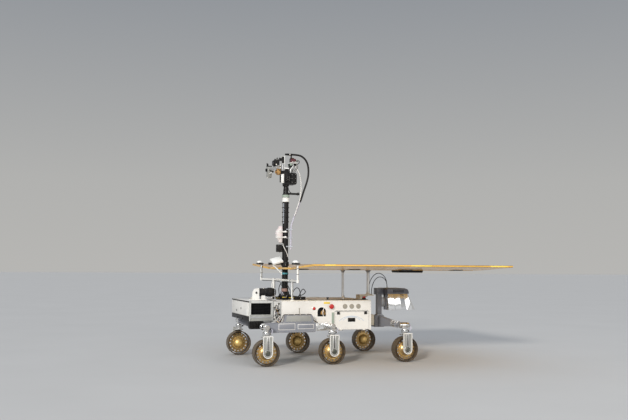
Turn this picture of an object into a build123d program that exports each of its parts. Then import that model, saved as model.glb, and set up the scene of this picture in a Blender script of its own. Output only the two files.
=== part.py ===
from build123d import *
import math
import os

# Six-wheeled planetary rover, a full-size field prototype.  Millimetres.
# +X forward, +Y to the rover's left, +Z up, ground at Z = 0.
# In this file x is counted from the middle axle; X0 moves it to the centre of
# the whole length, so the origin is under the middle of the rover's box.
os.makedirs("parts", exist_ok=True)

# ------------------------------------------------------------------ sizes
X_NOSE = 898.0            # front plate's outer face
X_TAIL = -1927.0          # rear edge of the solar array
X0 = -(X_NOSE + X_TAIL) / 2.0

X_FRONT, X_REAR = 754.0, -882.0   # front and rear axles
WHEEL_R = 142.5           # wheels 285 mm across
WHEEL_W = 120.0
RIM_T = 8.0               # thickness of the flexible outer band
HUB_R = 118.0             # perforated disc inside the band
DISC_D = 20.0             # its distance outboard of the wheel's mid-plane
HOLE_N, HOLE_AT, HOLE_R = 16, 100.0, 8.5   # round holes in the disc
TRACK_H = 600.0           # half the track, wheel mid-planes
AXLE_R = 12.0
BORE_GAP = 0.05
DOME_R = 66.0
DOME_H = 60.0

STEER_R = 15.0            # steering shaft
FORK_TOP = 309.0          # top of the fork's crown plate
FORK_W = 106.0            # fork's width seen from the side
FORK_PLATE_TOP = 325.0    # top of the fork's outboard plate
LEG_Z = 410.0             # height of the deployment drives

BODY_X0, BODY_X1 = -553.0, 522.0
BODY_H = 385.0            # half width of the inner box
PANEL_T = 12.0
BODY_Z0, BODY_Z1 = 350.0, 676.0
DECK_Z = 686.0
WALL = 5.0

NOSE_X0, NOSE_X1 = 624.0, 888.0
NOSE_H = 400.0
NOSE_Z0, NOSE_Z1 = 467.0, 686.0

MAST_X = 363.0
MAST_R = 35.0
MAST_TOP = 1815.0
COLLAR_TOP = 1865.0
NECK_TOP = 2010.0
TILT_X, TILT_Z = 363.0, 2085.0

ARRAY_X1 = 430.0
ARRAY_YC = 450.0          # half width of the centre panel
ARRAY_Y = 1200.0          # half span
ARRAY_Z = 1034.0          # underside of the centre panel
ARRAY_T = 18.0
WING_RISE = 40.0

PAY_XC, PAY_X, PAY_Y, PAY_R = -120.0, 200.0, 400.0, 4.5    # payload bolts in the deck, M8
BENCH_Y, BENCH_R = 360.0, 3.3                             # spare bolts in the camera bench, M6

HATCH_X0, HATCH_X1 = -526.0, -111.0
HATCH_Z0, HATCH_Z1 = 356.0, 558.0
HINGE_Y, HINGE_Z, HINGE_PIN = 403.0, 352.0, 3.0

# wheel stations: name, x of the axle, side
STATIONS = [  # name, axle_x, side
    ("front_left", X_FRONT, 1), ("front_right", X_FRONT, -1),
    ("middle_left", 0.0, 1), ("middle_right", 0.0, -1),
    ("rear_left", X_REAR, 1), ("rear_right", X_REAR, -1),
]


# ---------------------------------------------------------------- helpers
def box(x0, x1, y0, y1, z0, z1):
    return Pos((x0 + x1) / 2 + X0, (y0 + y1) / 2, (z0 + z1) / 2) * Box(abs(x1 - x0), abs(y1 - y0), abs(z1 - z0))


def cyl_x(x0, x1, y, z, r):
    return Pos((x0 + x1) / 2 + X0, y, z) * Rot(0, 90, 0) * Cylinder(r, abs(x1 - x0))


def cyl_y(x, y0, y1, z, r):
    return Pos(x + X0, (y0 + y1) / 2, z) * Rot(90, 0, 0) * Cylinder(r, abs(y1 - y0))


def cyl_z(x, y, z0, z1, r):
    return Pos(x + X0, y, (z0 + z1) / 2) * Cylinder(r, abs(z1 - z0))


def prism_xz(pts, y0, y1):
    """Flat plate with an outline in X-Z, from y0 to y1."""
    w = Wire.make_polygon([Vector(x + X0, min(y0, y1), z) for x, z in pts], close=True)
    return extrude(Face(w), amount=abs(y1 - y0), dir=(0, 1, 0))


def prism_yz(pts, x0, x1):
    w = Wire.make_polygon([Vector(min(x0, x1) + X0, y, z) for y, z in pts], close=True)
    return extrude(Face(w), amount=abs(x1 - x0), dir=(1, 0, 0))


def prism_xy(pts, z0, z1):
    w = Wire.make_polygon([Vector(x + X0, y, z0) for x, y in pts], close=True)
    return extrude(Face(w), amount=z1 - z0, dir=(0, 0, 1))


def rod(p, q, r):
    """Straight round bar between two points given in rover x, y, z."""
    a, b = Vector(p[0] + X0, p[1], p[2]), Vector(q[0] + X0, q[1], q[2])
    pl = Plane(origin=a, z_dir=(b - a))
    return extrude(pl * Circle(r), amount=(b - a).length)


def fuse(first, *rest):
    out = first
    for r in rest:
        out = out + r
    return out


def mirror_y(shape):
    return mirror(shape, about=Plane.XZ)


NODES = {}


def put(name, *solids):
    NODES[name] = [s for s in solids]


def cable(name, pts, d):
    """Tube along straight runs and tangent arcs, each arc as large as its runs allow."""
    v = [Vector(x + X0, y, z) for x, y, z in pts]
    radii = []
    for a, b, c in zip(v, v[1:], v[2:]):
        u, w = (b - a), (c - b)
        turn = math.radians(u.get_angle(w))
        radii.append(0.45 * min(u.length, w.length) / math.tan(turn / 2))
    path = FilletPolyline(*v, radius=radii)
    sec = Plane(origin=path @ 0, z_dir=path % 0) * Circle(d / 2)
    tube = sweep(sec, path=path)
    want = math.pi * d * d / 4 * path.length
    print(name, "length %.0f" % path.length, "volume ratio %.4f" % (tube.volume / want),
          "smallest radius %.0f = %.1f diameters" % (min(radii), min(radii) / d))
    put(name, tube)


# ------------------------------------------------------ wheels and forks
# Hub outline, turned about the axle.  Columns: distance from the wheel's
# mid-plane (outboard positive), radius.
HUB_PROFILE = [(14, 0), (14, 112), (4, 112), (4, HUB_R), (36, HUB_R), (36, 112), (26, 112),
               (26, 84), (34, 80), (40, 60), (56, 40), (61, 36), (61, 0)]


def wheel_hub():
    # turned in a local frame: local X is the distance, local Y the radius
    w = Wire.make_polygon([Vector(d, r, 0) for d, r in HUB_PROFILE], close=True)
    hub = revolve(Face(w), axis=Axis.X, revolution_arc=360)
    ball_r = (DOME_R ** 2 + DOME_H ** 2) / (2 * DOME_H)
    dome = Pos(14 - DOME_H + ball_r, 0, 0) * Sphere(ball_r)
    hub = hub + (dome & (Pos(16 - 50, 0, 0) * Box(100, 200, 200)))
    hub = hub - Pos(-40 + 60, 0, 0) * Rot(0, 90, 0) * Cylinder(AXLE_R + BORE_GAP, 120)
    for k in range(HOLE_N):
        hub = hub - Rot(360 / HOLE_N * k, 0, 0) * Pos(DISC_D, HOLE_AT, 0) * Rot(0, 90, 0) * Cylinder(HOLE_R, 30)
    return hub


def wheel_tyre(side):
    band = Cylinder(WHEEL_R, WHEEL_W) - Cylinder(WHEEL_R - RIM_T, WHEEL_W)
    n = 12
    for k in range(n):
        web = Rot(0, 0, 360 / n * k) * Pos((HUB_R + WHEEL_R - RIM_T) / 2 + 1.5, 0, -DISC_D * side) * Rot(0, 0, 35) * Box(30, 2.5, 26)
        web = web - Cylinder(HUB_R - 3, 200)
        web = web & Cylinder(WHEEL_R - RIM_T + 2, 200)
        band = band + web
    return band


HUB = wheel_hub()


def wheel(ax, side):
    # hub: local X -> rover Y (outboard); band: local Z -> rover -Y
    at = Pos(ax + X0, TRACK_H * side, WHEEL_R)
    return at * Rot(0, 0, 90 * side) * HUB + at * Rot(90, 0, 0) * wheel_tyre(side)


def fork(ax, side):
    s = side
    yp0, yp1, yp2 = (TRACK_H + 68) * s, (TRACK_H + 76) * s, (TRACK_H + 90) * s
    hw = FORK_W / 2

    def outline(h, top, y0, y1):
        return fuse(box(ax - h, ax + h, y0, y1, WHEEL_R, top), cyl_y(ax, y0, y1, WHEEL_R, h))

    f = outline(hw, FORK_PLATE_TOP, yp0, yp2)
    f = f - outline(hw - 7, FORK_PLATE_TOP - 10, yp1, (TRACK_H + 100) * s)
    f = f + cyl_y(ax, yp1, (TRACK_H + 98) * s, WHEEL_R, 34)             # drive end cap
    f = f + box(ax - 46, ax + 46, (TRACK_H - 40) * s, yp1, FORK_TOP - 12, FORK_TOP)  # crown
    f = f + cyl_z(ax, TRACK_H * s, FORK_TOP - 12, 322, 30)              # steering flange
    f = f + cyl_z(ax, TRACK_H * s, 300, 356, STEER_R)                   # steering shaft
    f = f + cyl_y(ax, (TRACK_H - 38) * s, yp1, WHEEL_R, AXLE_R)         # axle
    f = f + cyl_y(ax, (TRACK_H + 62) * s, yp1, WHEEL_R, 24)             # axle shoulder
    return f


def leg(ax, side, lateral=True):
    s = side
    g = cyl_z(ax, TRACK_H * s, 324, 364, 40)                            # steering drive
    g = g + cyl_z(ax, TRACK_H * s, 364, 392, 25)
    if lateral:
        g = g + cyl_y(ax, 498 * s, 640 * s, LEG_Z, 32)                  # deployment drive
        g = g + cyl_y(ax, 640 * s, 650 * s, LEG_Z, 25)
    else:
        g = g + cyl_x(ax - 45, ax + 66, TRACK_H * s, LEG_Z, 32)
        g = g + cyl_x(ax - 55, ax - 45, TRACK_H * s, LEG_Z, 25)
    g = g + box(ax - 26, ax + 26, (TRACK_H - 26) * s, (TRACK_H + 26) * s, 385, LEG_Z)
    g = g - cyl_z(ax, TRACK_H * s, 300, 360, STEER_R + BORE_GAP)
    return g


for name, ax, side in STATIONS:
    put(name + "_wheel", wheel(ax, side))
    put(name + "_fork", fork(ax, side))
put("front_legs", leg(X_FRONT, 1), leg(X_FRONT, -1))
put("middle_legs", leg(0, 1), leg(0, -1))
put("rear_legs", leg(X_REAR, 1, False), leg(X_REAR, -1, False))

# ---------------------------------------------------------- side bogies
BEAM_Y0, BEAM_Y1 = 455.0, 497.0


def bogie_beam():
    low = [(152, 350), (152, 448), (176, 456), (196, 532), (508, 532), (528, 456), (684, 452),
           (X_FRONT, LEG_Z + 33), (X_FRONT, LEG_Z - 33), (672, 343), (164, 343)]
    b = prism_xz(low, BEAM_Y0, BEAM_Y1)
    b = b + cyl_y(X_FRONT, BEAM_Y0, BEAM_Y1, LEG_Z, 34)
    return b


def bogie_link():
    k = prism_xz([(0, 384), (0, 438), (151.5, 440), (151.5, 362), (60, 380)], BEAM_Y0 + 4, BEAM_Y1 - 2)
    k = k + cyl_y(0, BEAM_Y0 + 4, BEAM_Y1, LEG_Z, 36)
    k = k + cyl_y(64, BEAM_Y1 - 4, BEAM_Y1 + 14, 418, 22)
    return k


PIVOT_X, PIVOT_Z = 360.0, 462.0


def bogie_pivot():
    return fuse(cyl_y(PIVOT_X, 397, BEAM_Y0, PIVOT_Z, 48), cyl_y(PIVOT_X, 397, 407, PIVOT_Z, 66))


side_bogie = bogie_beam() + bogie_pivot()
put("side_bogie_beams", side_bogie, mirror_y(side_bogie))
put("side_bogie_links", bogie_link(), mirror_y(bogie_link()))

# ----------------------------------------------------------- rear bogie
RB_X0, RB_X1 = -869.0, -751.0
rear_pivot = fuse(cyl_x(RB_X1, BODY_X0, 0, 420, 48), cyl_x(BODY_X0 - 14, BODY_X0, 0, 420, 66))
arm = [(-60, 351), (-60, 489), (60, 489), (60, 351)]
rb = prism_yz(arm, RB_X0, RB_X1) + rear_pivot
for s in (1, -1):
    wedge = [(-852, 60 * s), (-790, 60 * s), (-838, 330 * s), (-892, 330 * s)]
    rb = rb + (prism_xy(wedge, 357, 480) & prism_yz([(50 * s, 357), (50 * s, 480), (332 * s, 442), (332 * s, 376)], -900, -780))
    rb = rb + cyl_y(-866, 326 * s, 430 * s, LEG_Z - 2, 35)
    rb = rb + cyl_y(-872, 425 * s, 480 * s, LEG_Z + 4, 26)
    rb = rb + box(-908, -856, 476 * s, 590 * s, LEG_Z - 22, LEG_Z + 22)
    # saddle that takes the leg's drive
    rb = rb - cyl_x(X_REAR - 60, X_REAR + 70, TRACK_H * s, LEG_Z, 32) - box(X_REAR - 26, X_REAR + 26, (TRACK_H - 26) * s, (TRACK_H + 26) * s, 380, LEG_Z)
    rb = rb - cyl_z(X_REAR, TRACK_H * s, 320, 392, 25)
put("rear_bogie_beam", rb)

# ---------------------------------------------------------------- body
shell = box(BODY_X0, BODY_X1, -BODY_H, BODY_H, BODY_Z0, BODY_Z1)
shell = shell - box(BODY_X0 + WALL, BODY_X1 - WALL, -BODY_H + WALL, BODY_H - WALL, BODY_Z0 + WALL, BODY_Z1 + 1)
shell = shell - box(HATCH_X0 + 8, HATCH_X1 - 8, BODY_H - 20, BODY_H + 5, 368, HATCH_Z1 - 8)


def side_panel(left):
    p = box(BODY_X0, BODY_X1, BODY_H, BODY_H + PANEL_T, BODY_Z0, DECK_Z)
    if left:
        p = p - box(HATCH_X0 - 5, HATCH_X1 + 5, BODY_H - 5, BODY_H + PANEL_T + 5, BODY_Z0 - 5, HATCH_Z1 + 5)
        # arched inspection window
        w = fuse(box(-2, 102, BODY_H + 4, BODY_H + PANEL_T + 5, 506, 560),
                 cyl_y(50, BODY_H + 4, BODY_H + PANEL_T + 5, 560, 52))
        p = p - w
    return p


put("side_panels", side_panel(True), mirror_y(side_panel(False)))

hatch = box(HATCH_X0, HATCH_X1, BODY_H, BODY_H + PANEL_T, HATCH_Z0, HATCH_Z1)
hinge_x = [-462.0, -176.0]
for hx in hinge_x:
    hatch = hatch + box(hx - 15, hx + 15, BODY_H + 6, HINGE_Y, HINGE_Z, HINGE_Z + 16)
    hatch = hatch + cyl_x(hx - 15, hx + 15, HINGE_Y, HINGE_Z, 6)
    hatch = hatch - cyl_x(hx - 40, hx + 40, HINGE_Y, HINGE_Z, HINGE_PIN + 0.05)
ears = []
for hx in hinge_x:
    e = cyl_x(hx - 26, hx + 26, HINGE_Y, HINGE_Z, HINGE_PIN)
    for s in (1, -1):
        e = e + cyl_x(hx + 16 * s, hx + 26 * s, HINGE_Y, HINGE_Z, 5.5)
        e = e + box(hx + 16 * s, hx + 26 * s, 372, HINGE_Y, HINGE_Z - 8, BODY_Z0)
    e = e + box(hx - 26, hx + 26, 372, 390, HINGE_Z - 8, BODY_Z0)
    ears.append(e)
for e in ears:
    shell = shell + (e - box(-900, 900, 300, 397, BODY_Z0, 400))
put("body_shell", shell)
hatch = fuse(hatch,
             box(-496, -474, BODY_H + PANEL_T, BODY_H + PANEL_T + 14, 532, 556),
             box(-162, -140, BODY_H + PANEL_T, BODY_H + PANEL_T + 14, 532, 556),
             box(-350, -275, BODY_H + PANEL_T, BODY_H + PANEL_T + 12, 450, 480))
put("battery_hatch", hatch)
put("battery_pack", box(-508, -128, 235, 372, BODY_Z0 + WALL, 538))

# side buttons, caps and small fittings, on the left panel
FACE = BODY_H + PANEL_T
put("side_controls", fuse(cyl_y(-62, FACE, FACE + 14, 618, 17), cyl_y(-62, FACE + 14, FACE + 34, 618, 27)),
    *[cyl_y(x, FACE, FACE + 6, 617, 28) for x in (-232, -314, -396)])

# ----------------------------------------------------------- front box
nose = box(NOSE_X0, NOSE_X1, -NOSE_H, NOSE_H, NOSE_Z0, NOSE_Z1)
for s in (1, -1):
    nose = nose - box(NOSE_X0 + 12, NOSE_X1 - 14, (NOSE_H - 45) * s, (NOSE_H + 5) * s, 536, 662)
nose = nose + box(NOSE_X1, X_NOSE, -372, 372, 500, 656)
put("front_box", nose)
put("front_lower_box", box(721, 868, 300, 376, 378, NOSE_Z0))
put("front_bulkhead", box(BODY_X1, NOSE_X0, -372, 372, 430, 676))

# survey camera on top of the front box
CAM_Y = 120.0
CAM_Z = 771.0
sc = fuse(cyl_x(532, 704, CAM_Y, CAM_Z, 46), cyl_x(704, 712, CAM_Y, CAM_Z, 38), cyl_x(514, 532, CAM_Y, CAM_Z, 37),
          cyl_x(559, 606, CAM_Y, CAM_Z, 52))
put("survey_camera", sc)
sb = fuse(box(634, 806, CAM_Y - 58, CAM_Y + 58, NOSE_Z1, NOSE_Z1 + 10),
          box(640, 684, CAM_Y - 30, CAM_Y + 30, NOSE_Z1 + 10, 740),
          box(714, 728, CAM_Y - 44, CAM_Y + 44, NOSE_Z1 + 10, 819),
          prism_xz([(728, NOSE_Z1 + 10), (796, NOSE_Z1 + 10), (792, 778), (772, 810), (728, 816)], CAM_Y + 34, CAM_Y + 44),
          prism_xz([(728, NOSE_Z1 + 10), (790, NOSE_Z1 + 10), (728, 770)], CAM_Y - 44, CAM_Y - 36))
sb = sb - cyl_x(500, 713, CAM_Y, CAM_Z, 46.2) - cyl_y(746, CAM_Y + 30, CAM_Y + 50, 766, 10)
put("camera_bracket", sb)

# ---------------------------------------------------------------- mast
foot = fuse(box(MAST_X - 95, MAST_X + 95, -95, 95, DECK_Z, DECK_Z + 12), cyl_z(MAST_X, 0, DECK_Z + 12, 776, 51))
for a in (45, 135, 225, 315):
    c, s_ = math.cos(math.radians(a)), math.sin(math.radians(a))
    w = Wire.make_polygon([Vector(MAST_X + X0 + 40 * c - 4 * s_, 40 * s_ + 4 * c, DECK_Z + 10),
                           Vector(MAST_X + X0 + 108 * c - 4 * s_, 108 * s_ + 4 * c, DECK_Z + 10),
                           Vector(MAST_X + X0 + 40 * c - 4 * s_, 40 * s_ + 4 * c, 766)], close=True)
    foot = foot + extrude(Face(w), amount=8, dir=(s_, -c, 0))
foot = foot - cyl_z(MAST_X, 0, DECK_Z + 12, 800, MAST_R)
put("mast_foot", foot)
put("mast_tube", cyl_z(MAST_X, 0, DECK_Z + 12, MAST_TOP, MAST_R) - cyl_z(MAST_X, 0, DECK_Z, MAST_TOP + 5, MAST_R - 5))
put("mast_collar", fuse(cyl_z(MAST_X, 0, MAST_TOP, COLLAR_TOP, 40), cyl_z(MAST_X, 0, MAST_TOP - 40, MAST_TOP, MAST_R - 5.05),
                        cyl_z(MAST_X, 0, COLLAR_TOP, COLLAR_TOP + 28, 14)))

# pan stage: neck, cable arm and drive block turn about the mast
neck = fuse(cyl_z(MAST_X, 0, COLLAR_TOP + 3, 1899, 42),
            Pos(MAST_X + X0, 0, (1899 + NECK_TOP) / 2) * Cone(33, 24, NECK_TOP - 1899),
            cyl_z(MAST_X, 0, NECK_TOP - 12, NECK_TOP + 8, 38))
neck = neck - cyl_z(MAST_X, 0, COLLAR_TOP, COLLAR_TOP + 31, 14.05)
neck = neck + box(211, MAST_X - 18, -13, 13, 1902, 1924) + box(207, 221, -18, 18, 1898, 1930)
put("mast_neck", neck)
# drive block with cut corners, its lower front and the tilt barrel
drive = fuse(prism_xz([(322, NECK_TOP + 8), (262, NECK_TOP + 8), (250, NECK_TOP + 20), (250, 2143), (261, 2154), (322, 2154)], -60, 60),
             box(322, 390, -50, 50, NECK_TOP + 8, 2142), cyl_y(TILT_X, -66, 66, TILT_Z, 28))
drive = drive + cyl_y(TILT_X, -88, 88, TILT_Z, 10)
put("pan_tilt_drive", drive)
tray = fuse(box(246, 330, -60, 60, 2267, 2275), box(292, 326, -30, 30, 2154, 2267), box(250, 326, -44, 44, 2240, 2267))
put("head_electronics", fuse(tray, box(258, 306, -54, -4, 2275, 2338), box(254, 314, 4, 42, 2275, 2323),
                             box(298, 312, 6, 22, 2323, 2364), cyl_x(298, 380, 14, 2373, 13)))

# tilt stage: yoke, stereo bench and its cameras
yoke = None
for s in (1, -1):
    p = prism_xz([(345, 2052), (412, 2052), (412, 2206), (352, 2206)], 78 * s, 88 * s)
    p = p - cyl_y(TILT_X, 70 * s, 95 * s, TILT_Z, 10.05)
    yoke = p if yoke is None else yoke + p
yoke = yoke + box(396, 512, -88, 88, 2196, 2206)
yoke = yoke + box(460, 508, -236, 236, 2206, 2222)
yoke = yoke + prism_xz([(398, 2032), (440, 2027), (449, 2040), (449, 2127), (412, 2134), (398, 2134)], 88, 95)
for s in (1, -1):
    yoke = yoke - cyl_z(484, BENCH_Y / 2 * s, 2200, 2230, BENCH_R)
put("camera_bench", yoke)

near_camera = fuse(box(464, 500, 236, 276, 2150, 2318), cyl_x(500, 516, 256, 2278, 17), cyl_x(516, 524, 256, 2278, 20))
far_camera = fuse(box(466, 518, -292, -236, 2121, 2262), box(506, 518, -292, -236, 2262, 2297), cyl_x(518, 534, -264, 2210, 20))
put("stereo_cameras", near_camera, far_camera)
mid = fuse(box(452, 505, -50, 36, 2222, 2308), cyl_x(505, 524, -8, 2264, 30))
put("zoom_camera", mid)
put("bench_sensors", fuse(box(447, 490, 22, 68, 2124, 2196), cyl_x(490, 505, 45, 2158, 20)))

# things strapped to the mast
LOOM_X, LOOM_D = 296.0, 22.0
put("mast_pouch", box(400, 486, -46, 46, 1324, 1542))
put("mast_box", box(399, 470, -26, 26, 1231, 1318))
put("mast_clamps", *[fuse(cyl_z(MAST_X, 0, z, z + 10, MAST_R + 5) & box(300, MAST_X, -60, 60, z, z + 10),
                          box(LOOM_X - 16, MAST_X - 26, -16, 16, z, z + 10))
                     - cyl_z(MAST_X, 0, z - 5, z + 30, MAST_R) - cyl_z(LOOM_X, 0, z - 5, z + 30, LOOM_D / 2 + 2)
                     for z in (1290, 1390, 1490)])

# ------------------------------------------------------- deck antennas
ANT = (444.0, 720.0)      # x, y of the outer antenna posts
INN = (390.0, 368.0)      # x, y of the deck posts
BAR_Z = 905.0
ANT_PLATE_Z = 1084.0
DOME_X = 470.0
parts = []
for s in (1, -1):
    a = cyl_z(INN[0], INN[1] * s, DECK_Z, BAR_Z + 11, 11)
    a = a + cyl_z(INN[0], INN[1] * s, DECK_Z, DECK_Z + 8, 24)
    a = a + rod((INN[0], (INN[1] - 8) * s, BAR_Z), (ANT[0], (ANT[1] + 8) * s, BAR_Z), 11)
    a = a + cyl_z(ANT[0], ANT[1] * s, BAR_Z - 11, ANT_PLATE_Z, 11)
    a = a + box(426, 500, ANT[1] * s - 38, ANT[1] * s + 38, ANT_PLATE_Z, ANT_PLATE_Z + 20)
    parts.append(a)
# the bar runs past the front of the mast in a ring clamp
ring = fuse(rod((INN[0], -INN[1], BAR_Z), (INN[0], INN[1], BAR_Z), 11), cyl_z(MAST_X, 0, BAR_Z - 13, BAR_Z + 13, 43))
ring = ring - cyl_z(MAST_X, 0, BAR_Z - 20, BAR_Z + 20, MAST_R)
frame_ant = fuse(parts[0], ring, parts[1])


def dome(y):
    z = ANT_PLATE_Z + 20
    d = cyl_z(DOME_X, y, z, z + 8, 36)
    ball = Pos(DOME_X + X0, y, z + 8 + 22 - 40.5) * Sphere(40.5)
    return d + (ball & (Pos(DOME_X + X0, y, z + 8 + 20) * Box(120, 120, 40)))


put("antenna_frame", frame_ant + dome(ANT[1]) + dome(-ANT[1]))
# flat antenna on the mast, leaning forward and to the left, on an arm with a strut
tilted = Pos(466 + X0, 0, 1130) * Rot(0, 14, 0) * Rot(-30, 0, 0) * Box(128, 108, 26)
strut = fuse(box(MAST_X, 560, -14, 14, 1084, 1104), cyl_z(MAST_X, 0, 1070, 1116, 45),
             rod((MAST_X + 20, 0, 966), (514, 0, 1088), 7.5), cyl_z(MAST_X, 0, 972, 994, 39))
put("panel_antenna", tilted + (strut - cyl_z(MAST_X, 0, 900, 1200, MAST_R)))

# -------------------------------------------------------- solar array
SHELF_Z = 735.0           # top of the rear shelf
NOTCH = 52.0
centre = box(X_TAIL, ARRAY_X1, -ARRAY_YC, ARRAY_YC, ARRAY_Z, ARRAY_Z + ARRAY_T)
centre = centre - box(MAST_X - NOTCH, ARRAY_X1 + 5, -NOTCH, NOTCH, ARRAY_Z - 5, ARRAY_Z + 30)
centre = centre - cyl_z(MAST_X, 0, ARRAY_Z - 5, ARRAY_Z + 30, NOTCH)
put("array_centre_panel", centre)


def wing(s):
    y0, y1 = (ARRAY_YC + 6) * s, ARRAY_Y * s
    prof = [(y0, ARRAY_Z), (y0, ARRAY_Z + ARRAY_T), (y1, ARRAY_Z + ARRAY_T + WING_RISE), (y1, ARRAY_Z + WING_RISE)]
    return prism_yz(prof, X_TAIL, ARRAY_X1)


put("array_left_wing", wing(1))
put("array_right_wing", wing(-1))
hinges = []
for s in (1, -1):
    for x in (310, -310, -960, -1620):
        hinges.append(box(x - 60, x + 60, (ARRAY_YC - 60) * s, (ARRAY_YC + 6) * s, ARRAY_Z - 6, ARRAY_Z)
                      + prism_yz([((ARRAY_YC + 6) * s, ARRAY_Z - 6), ((ARRAY_YC + 6) * s, ARRAY_Z - 0.2),
                                  ((ARRAY_YC + 70) * s, ARRAY_Z + 3.2), ((ARRAY_YC + 70) * s, ARRAY_Z - 2.6)], x - 60, x + 60))
put("array_brackets", *hinges, box(-1250, -940, 120, 330, 1008, ARRAY_Z))
put("array_posts", fuse(cyl_z(-358, 0, DECK_Z, ARRAY_Z, 14), cyl_z(-358, 0, DECK_Z, DECK_Z + 10, 32), cyl_z(-358, 0, ARRAY_Z - 8, ARRAY_Z, 34)),
    fuse(cyl_z(-684, 0, SHELF_Z, ARRAY_Z, 18), cyl_z(-684, 0, ARRAY_Z - 8, ARRAY_Z, 38)))

# ---------------------------------------------------------------- rear
shelf = fuse(box(-735, BODY_X0, -60, 60, SHELF_Z - 12, SHELF_Z), box(BODY_X0 - 8, BODY_X0, -60, 60, 646, SHELF_Z),
             prism_xz([(BODY_X0 - 4, 650), (BODY_X0 - 4, SHELF_Z - 6), (-700, SHELF_Z - 6)], -6, 6))
shelf = shelf - box(BODY_X0, 0, -200, 200, 600, 800)
put("rear_shelf", shelf)
deck = box(BODY_X0, BODY_X1, -BODY_H, BODY_H, BODY_Z1, DECK_Z)
for dx in (-PAY_X / 2, PAY_X / 2):
    for dy in (-PAY_Y / 2, PAY_Y / 2):
        deck = deck - cyl_z(PAY_XC + dx, dy, BODY_Z1 - 5, DECK_Z + 5, PAY_R)
put("deck_plate", deck)
post = fuse(box(-853, -797, -28, 28, 489, 740), box(-870, -778, -44, 44, 735, 813))
put("rear_post", post)
# folded sheet hood, wider at the bottom and its tail sloping out downwards
HOOD_SIDE = [  # x_top, y_top, x_low, y_low
    (-878, 150, -878, 172), (-944, 166, -954, 190), (-956, 150, -968, 172), (-1020, 162, -1042, 186),
    (-1086, 142, -1120, 164), (-1132, 152, -1194, 174), (-1165, 108, -1246, 120)]
plan = [(a, -b, c, -d) for a, b, c, d in reversed(HOOD_SIDE)] + HOOD_SIDE
top = Face(Wire.make_polygon([Vector(a + X0, b, 745) for a, b, c, d in plan], close=True))
low = Face(Wire.make_polygon([Vector(c + X0, d, 556) for a, b, c, d in plan], close=True))
hood = Solid.make_loft([low.outer_wire(), top.outer_wire()], ruled=True)
put("rear_hood", hood + box(-880, -853, -26, 26, 590, 700))
put("rear_hood_cap", prism_xz([(-874, 745), (-874, 813), (-1112, 813), (-1146, 800), (-1160, 772), (-1160, 745)], -140, 140))

# -------------------------------------------------------------- cables
cable("head_cable", [(296, 14, 2374), (210, 12, 2374), (155, 8, 2351), (113, 4, 2309), (90, 0, 2254),
                     (83, -2, 2190), (88, 0, 2124), (104, 2, 2060), (126, 4, 1998), (148, 3, 1936), (166, 1, 1874),
                     (188, 0, 1814), (211, -1, 1757), (234, 0, 1700), (255, 0, 1648)], 22)
cable("head_cable_2", [(258, 30, 2236), (232, 30, 2198), (208, 30, 2154), (192, 29, 2095), (185, 27, 2025), (184, 26, 1955),
                       (190, 25, 1882), (206, 24, 1816), (226, 22, 1757), (244, 20, 1703), (260, 19, 1656)], 9)
cable("mast_loom", [(257, 0, 1643), (278, 0, 1591), (293, 0, 1534), (LOOM_X, 1, 1476), (LOOM_X, 0, 1418), (LOOM_X - 1, 1, 1360),
                    (LOOM_X, 0, 1302), (LOOM_X, 0, 1262)], LOOM_D)
cable("rear_hoop_cable", [(-712, 40, SHELF_Z + 1), (-712, 40, 790), (-722, 45, 850), (-746, 52, 906), (-788, 58, 946), (-838, 64, 948),
                          (-880, 70, 916), (-900, 76, 868), (-900, 76, 814)], 8)
cable("rear_hoop_cable_2", [(-712, -50, SHELF_Z + 1), (-712, -50, 800), (-728, -60, 870), (-760, -66, 934), (-812, -74, 984),
                            (-878, -82, 994), (-940, -88, 954), (-976, -94, 886), (-976, -94, 814)], 8)
cable("mast_loop_cable", [(MAST_X, 37, 856), (MAST_X, 82, 856), (368, 121, 834), (374, 144, 795), (376, 147, 741), (376, 147, 687)], 11)
cable("mast_loop_cable_2", [(401, 12, 880), (422, 14, 860), (437, 16, 831), (442, 18, 796), (438, 18, 758), (429, 17, 727), (424, 16, 699)], 9)

# ------------------------------------------------------------- export
for node, solids in NODES.items():
    shapes = []
    for s in solids:
        for sol in (s.solids() if hasattr(s, "solids") else [s]):
            shapes.append(sol)
    out = shapes[0] if len(shapes) == 1 else Compound(children=shapes)
    export_step(out, "parts/%s.step" % node)
print(len(NODES), "nodes")
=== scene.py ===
import bpy
import bmesh
import math

from mathutils import Matrix, Vector


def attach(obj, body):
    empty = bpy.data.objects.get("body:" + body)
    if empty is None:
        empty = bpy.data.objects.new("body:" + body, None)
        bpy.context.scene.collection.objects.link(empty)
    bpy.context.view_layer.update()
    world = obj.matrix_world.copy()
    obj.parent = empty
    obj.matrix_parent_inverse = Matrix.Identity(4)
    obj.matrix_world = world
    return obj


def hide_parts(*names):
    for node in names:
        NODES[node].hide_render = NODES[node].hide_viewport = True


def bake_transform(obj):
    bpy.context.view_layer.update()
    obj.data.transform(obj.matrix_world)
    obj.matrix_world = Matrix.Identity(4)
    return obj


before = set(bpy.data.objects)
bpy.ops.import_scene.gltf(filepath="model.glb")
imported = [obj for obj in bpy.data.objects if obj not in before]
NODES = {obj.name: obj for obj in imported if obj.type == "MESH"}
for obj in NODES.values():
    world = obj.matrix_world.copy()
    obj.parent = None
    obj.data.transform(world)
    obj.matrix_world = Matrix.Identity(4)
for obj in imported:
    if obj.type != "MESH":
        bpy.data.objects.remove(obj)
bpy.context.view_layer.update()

# Everything below is written in millimetres, x counted from the middle axle,
# as the part's own sizes are; MM() turns it into the row frame in metres.
X0 = 514.5


def MM(x, y, z):
    return Vector(((x + X0) / 1000.0, y / 1000.0, z / 1000.0))


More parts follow.
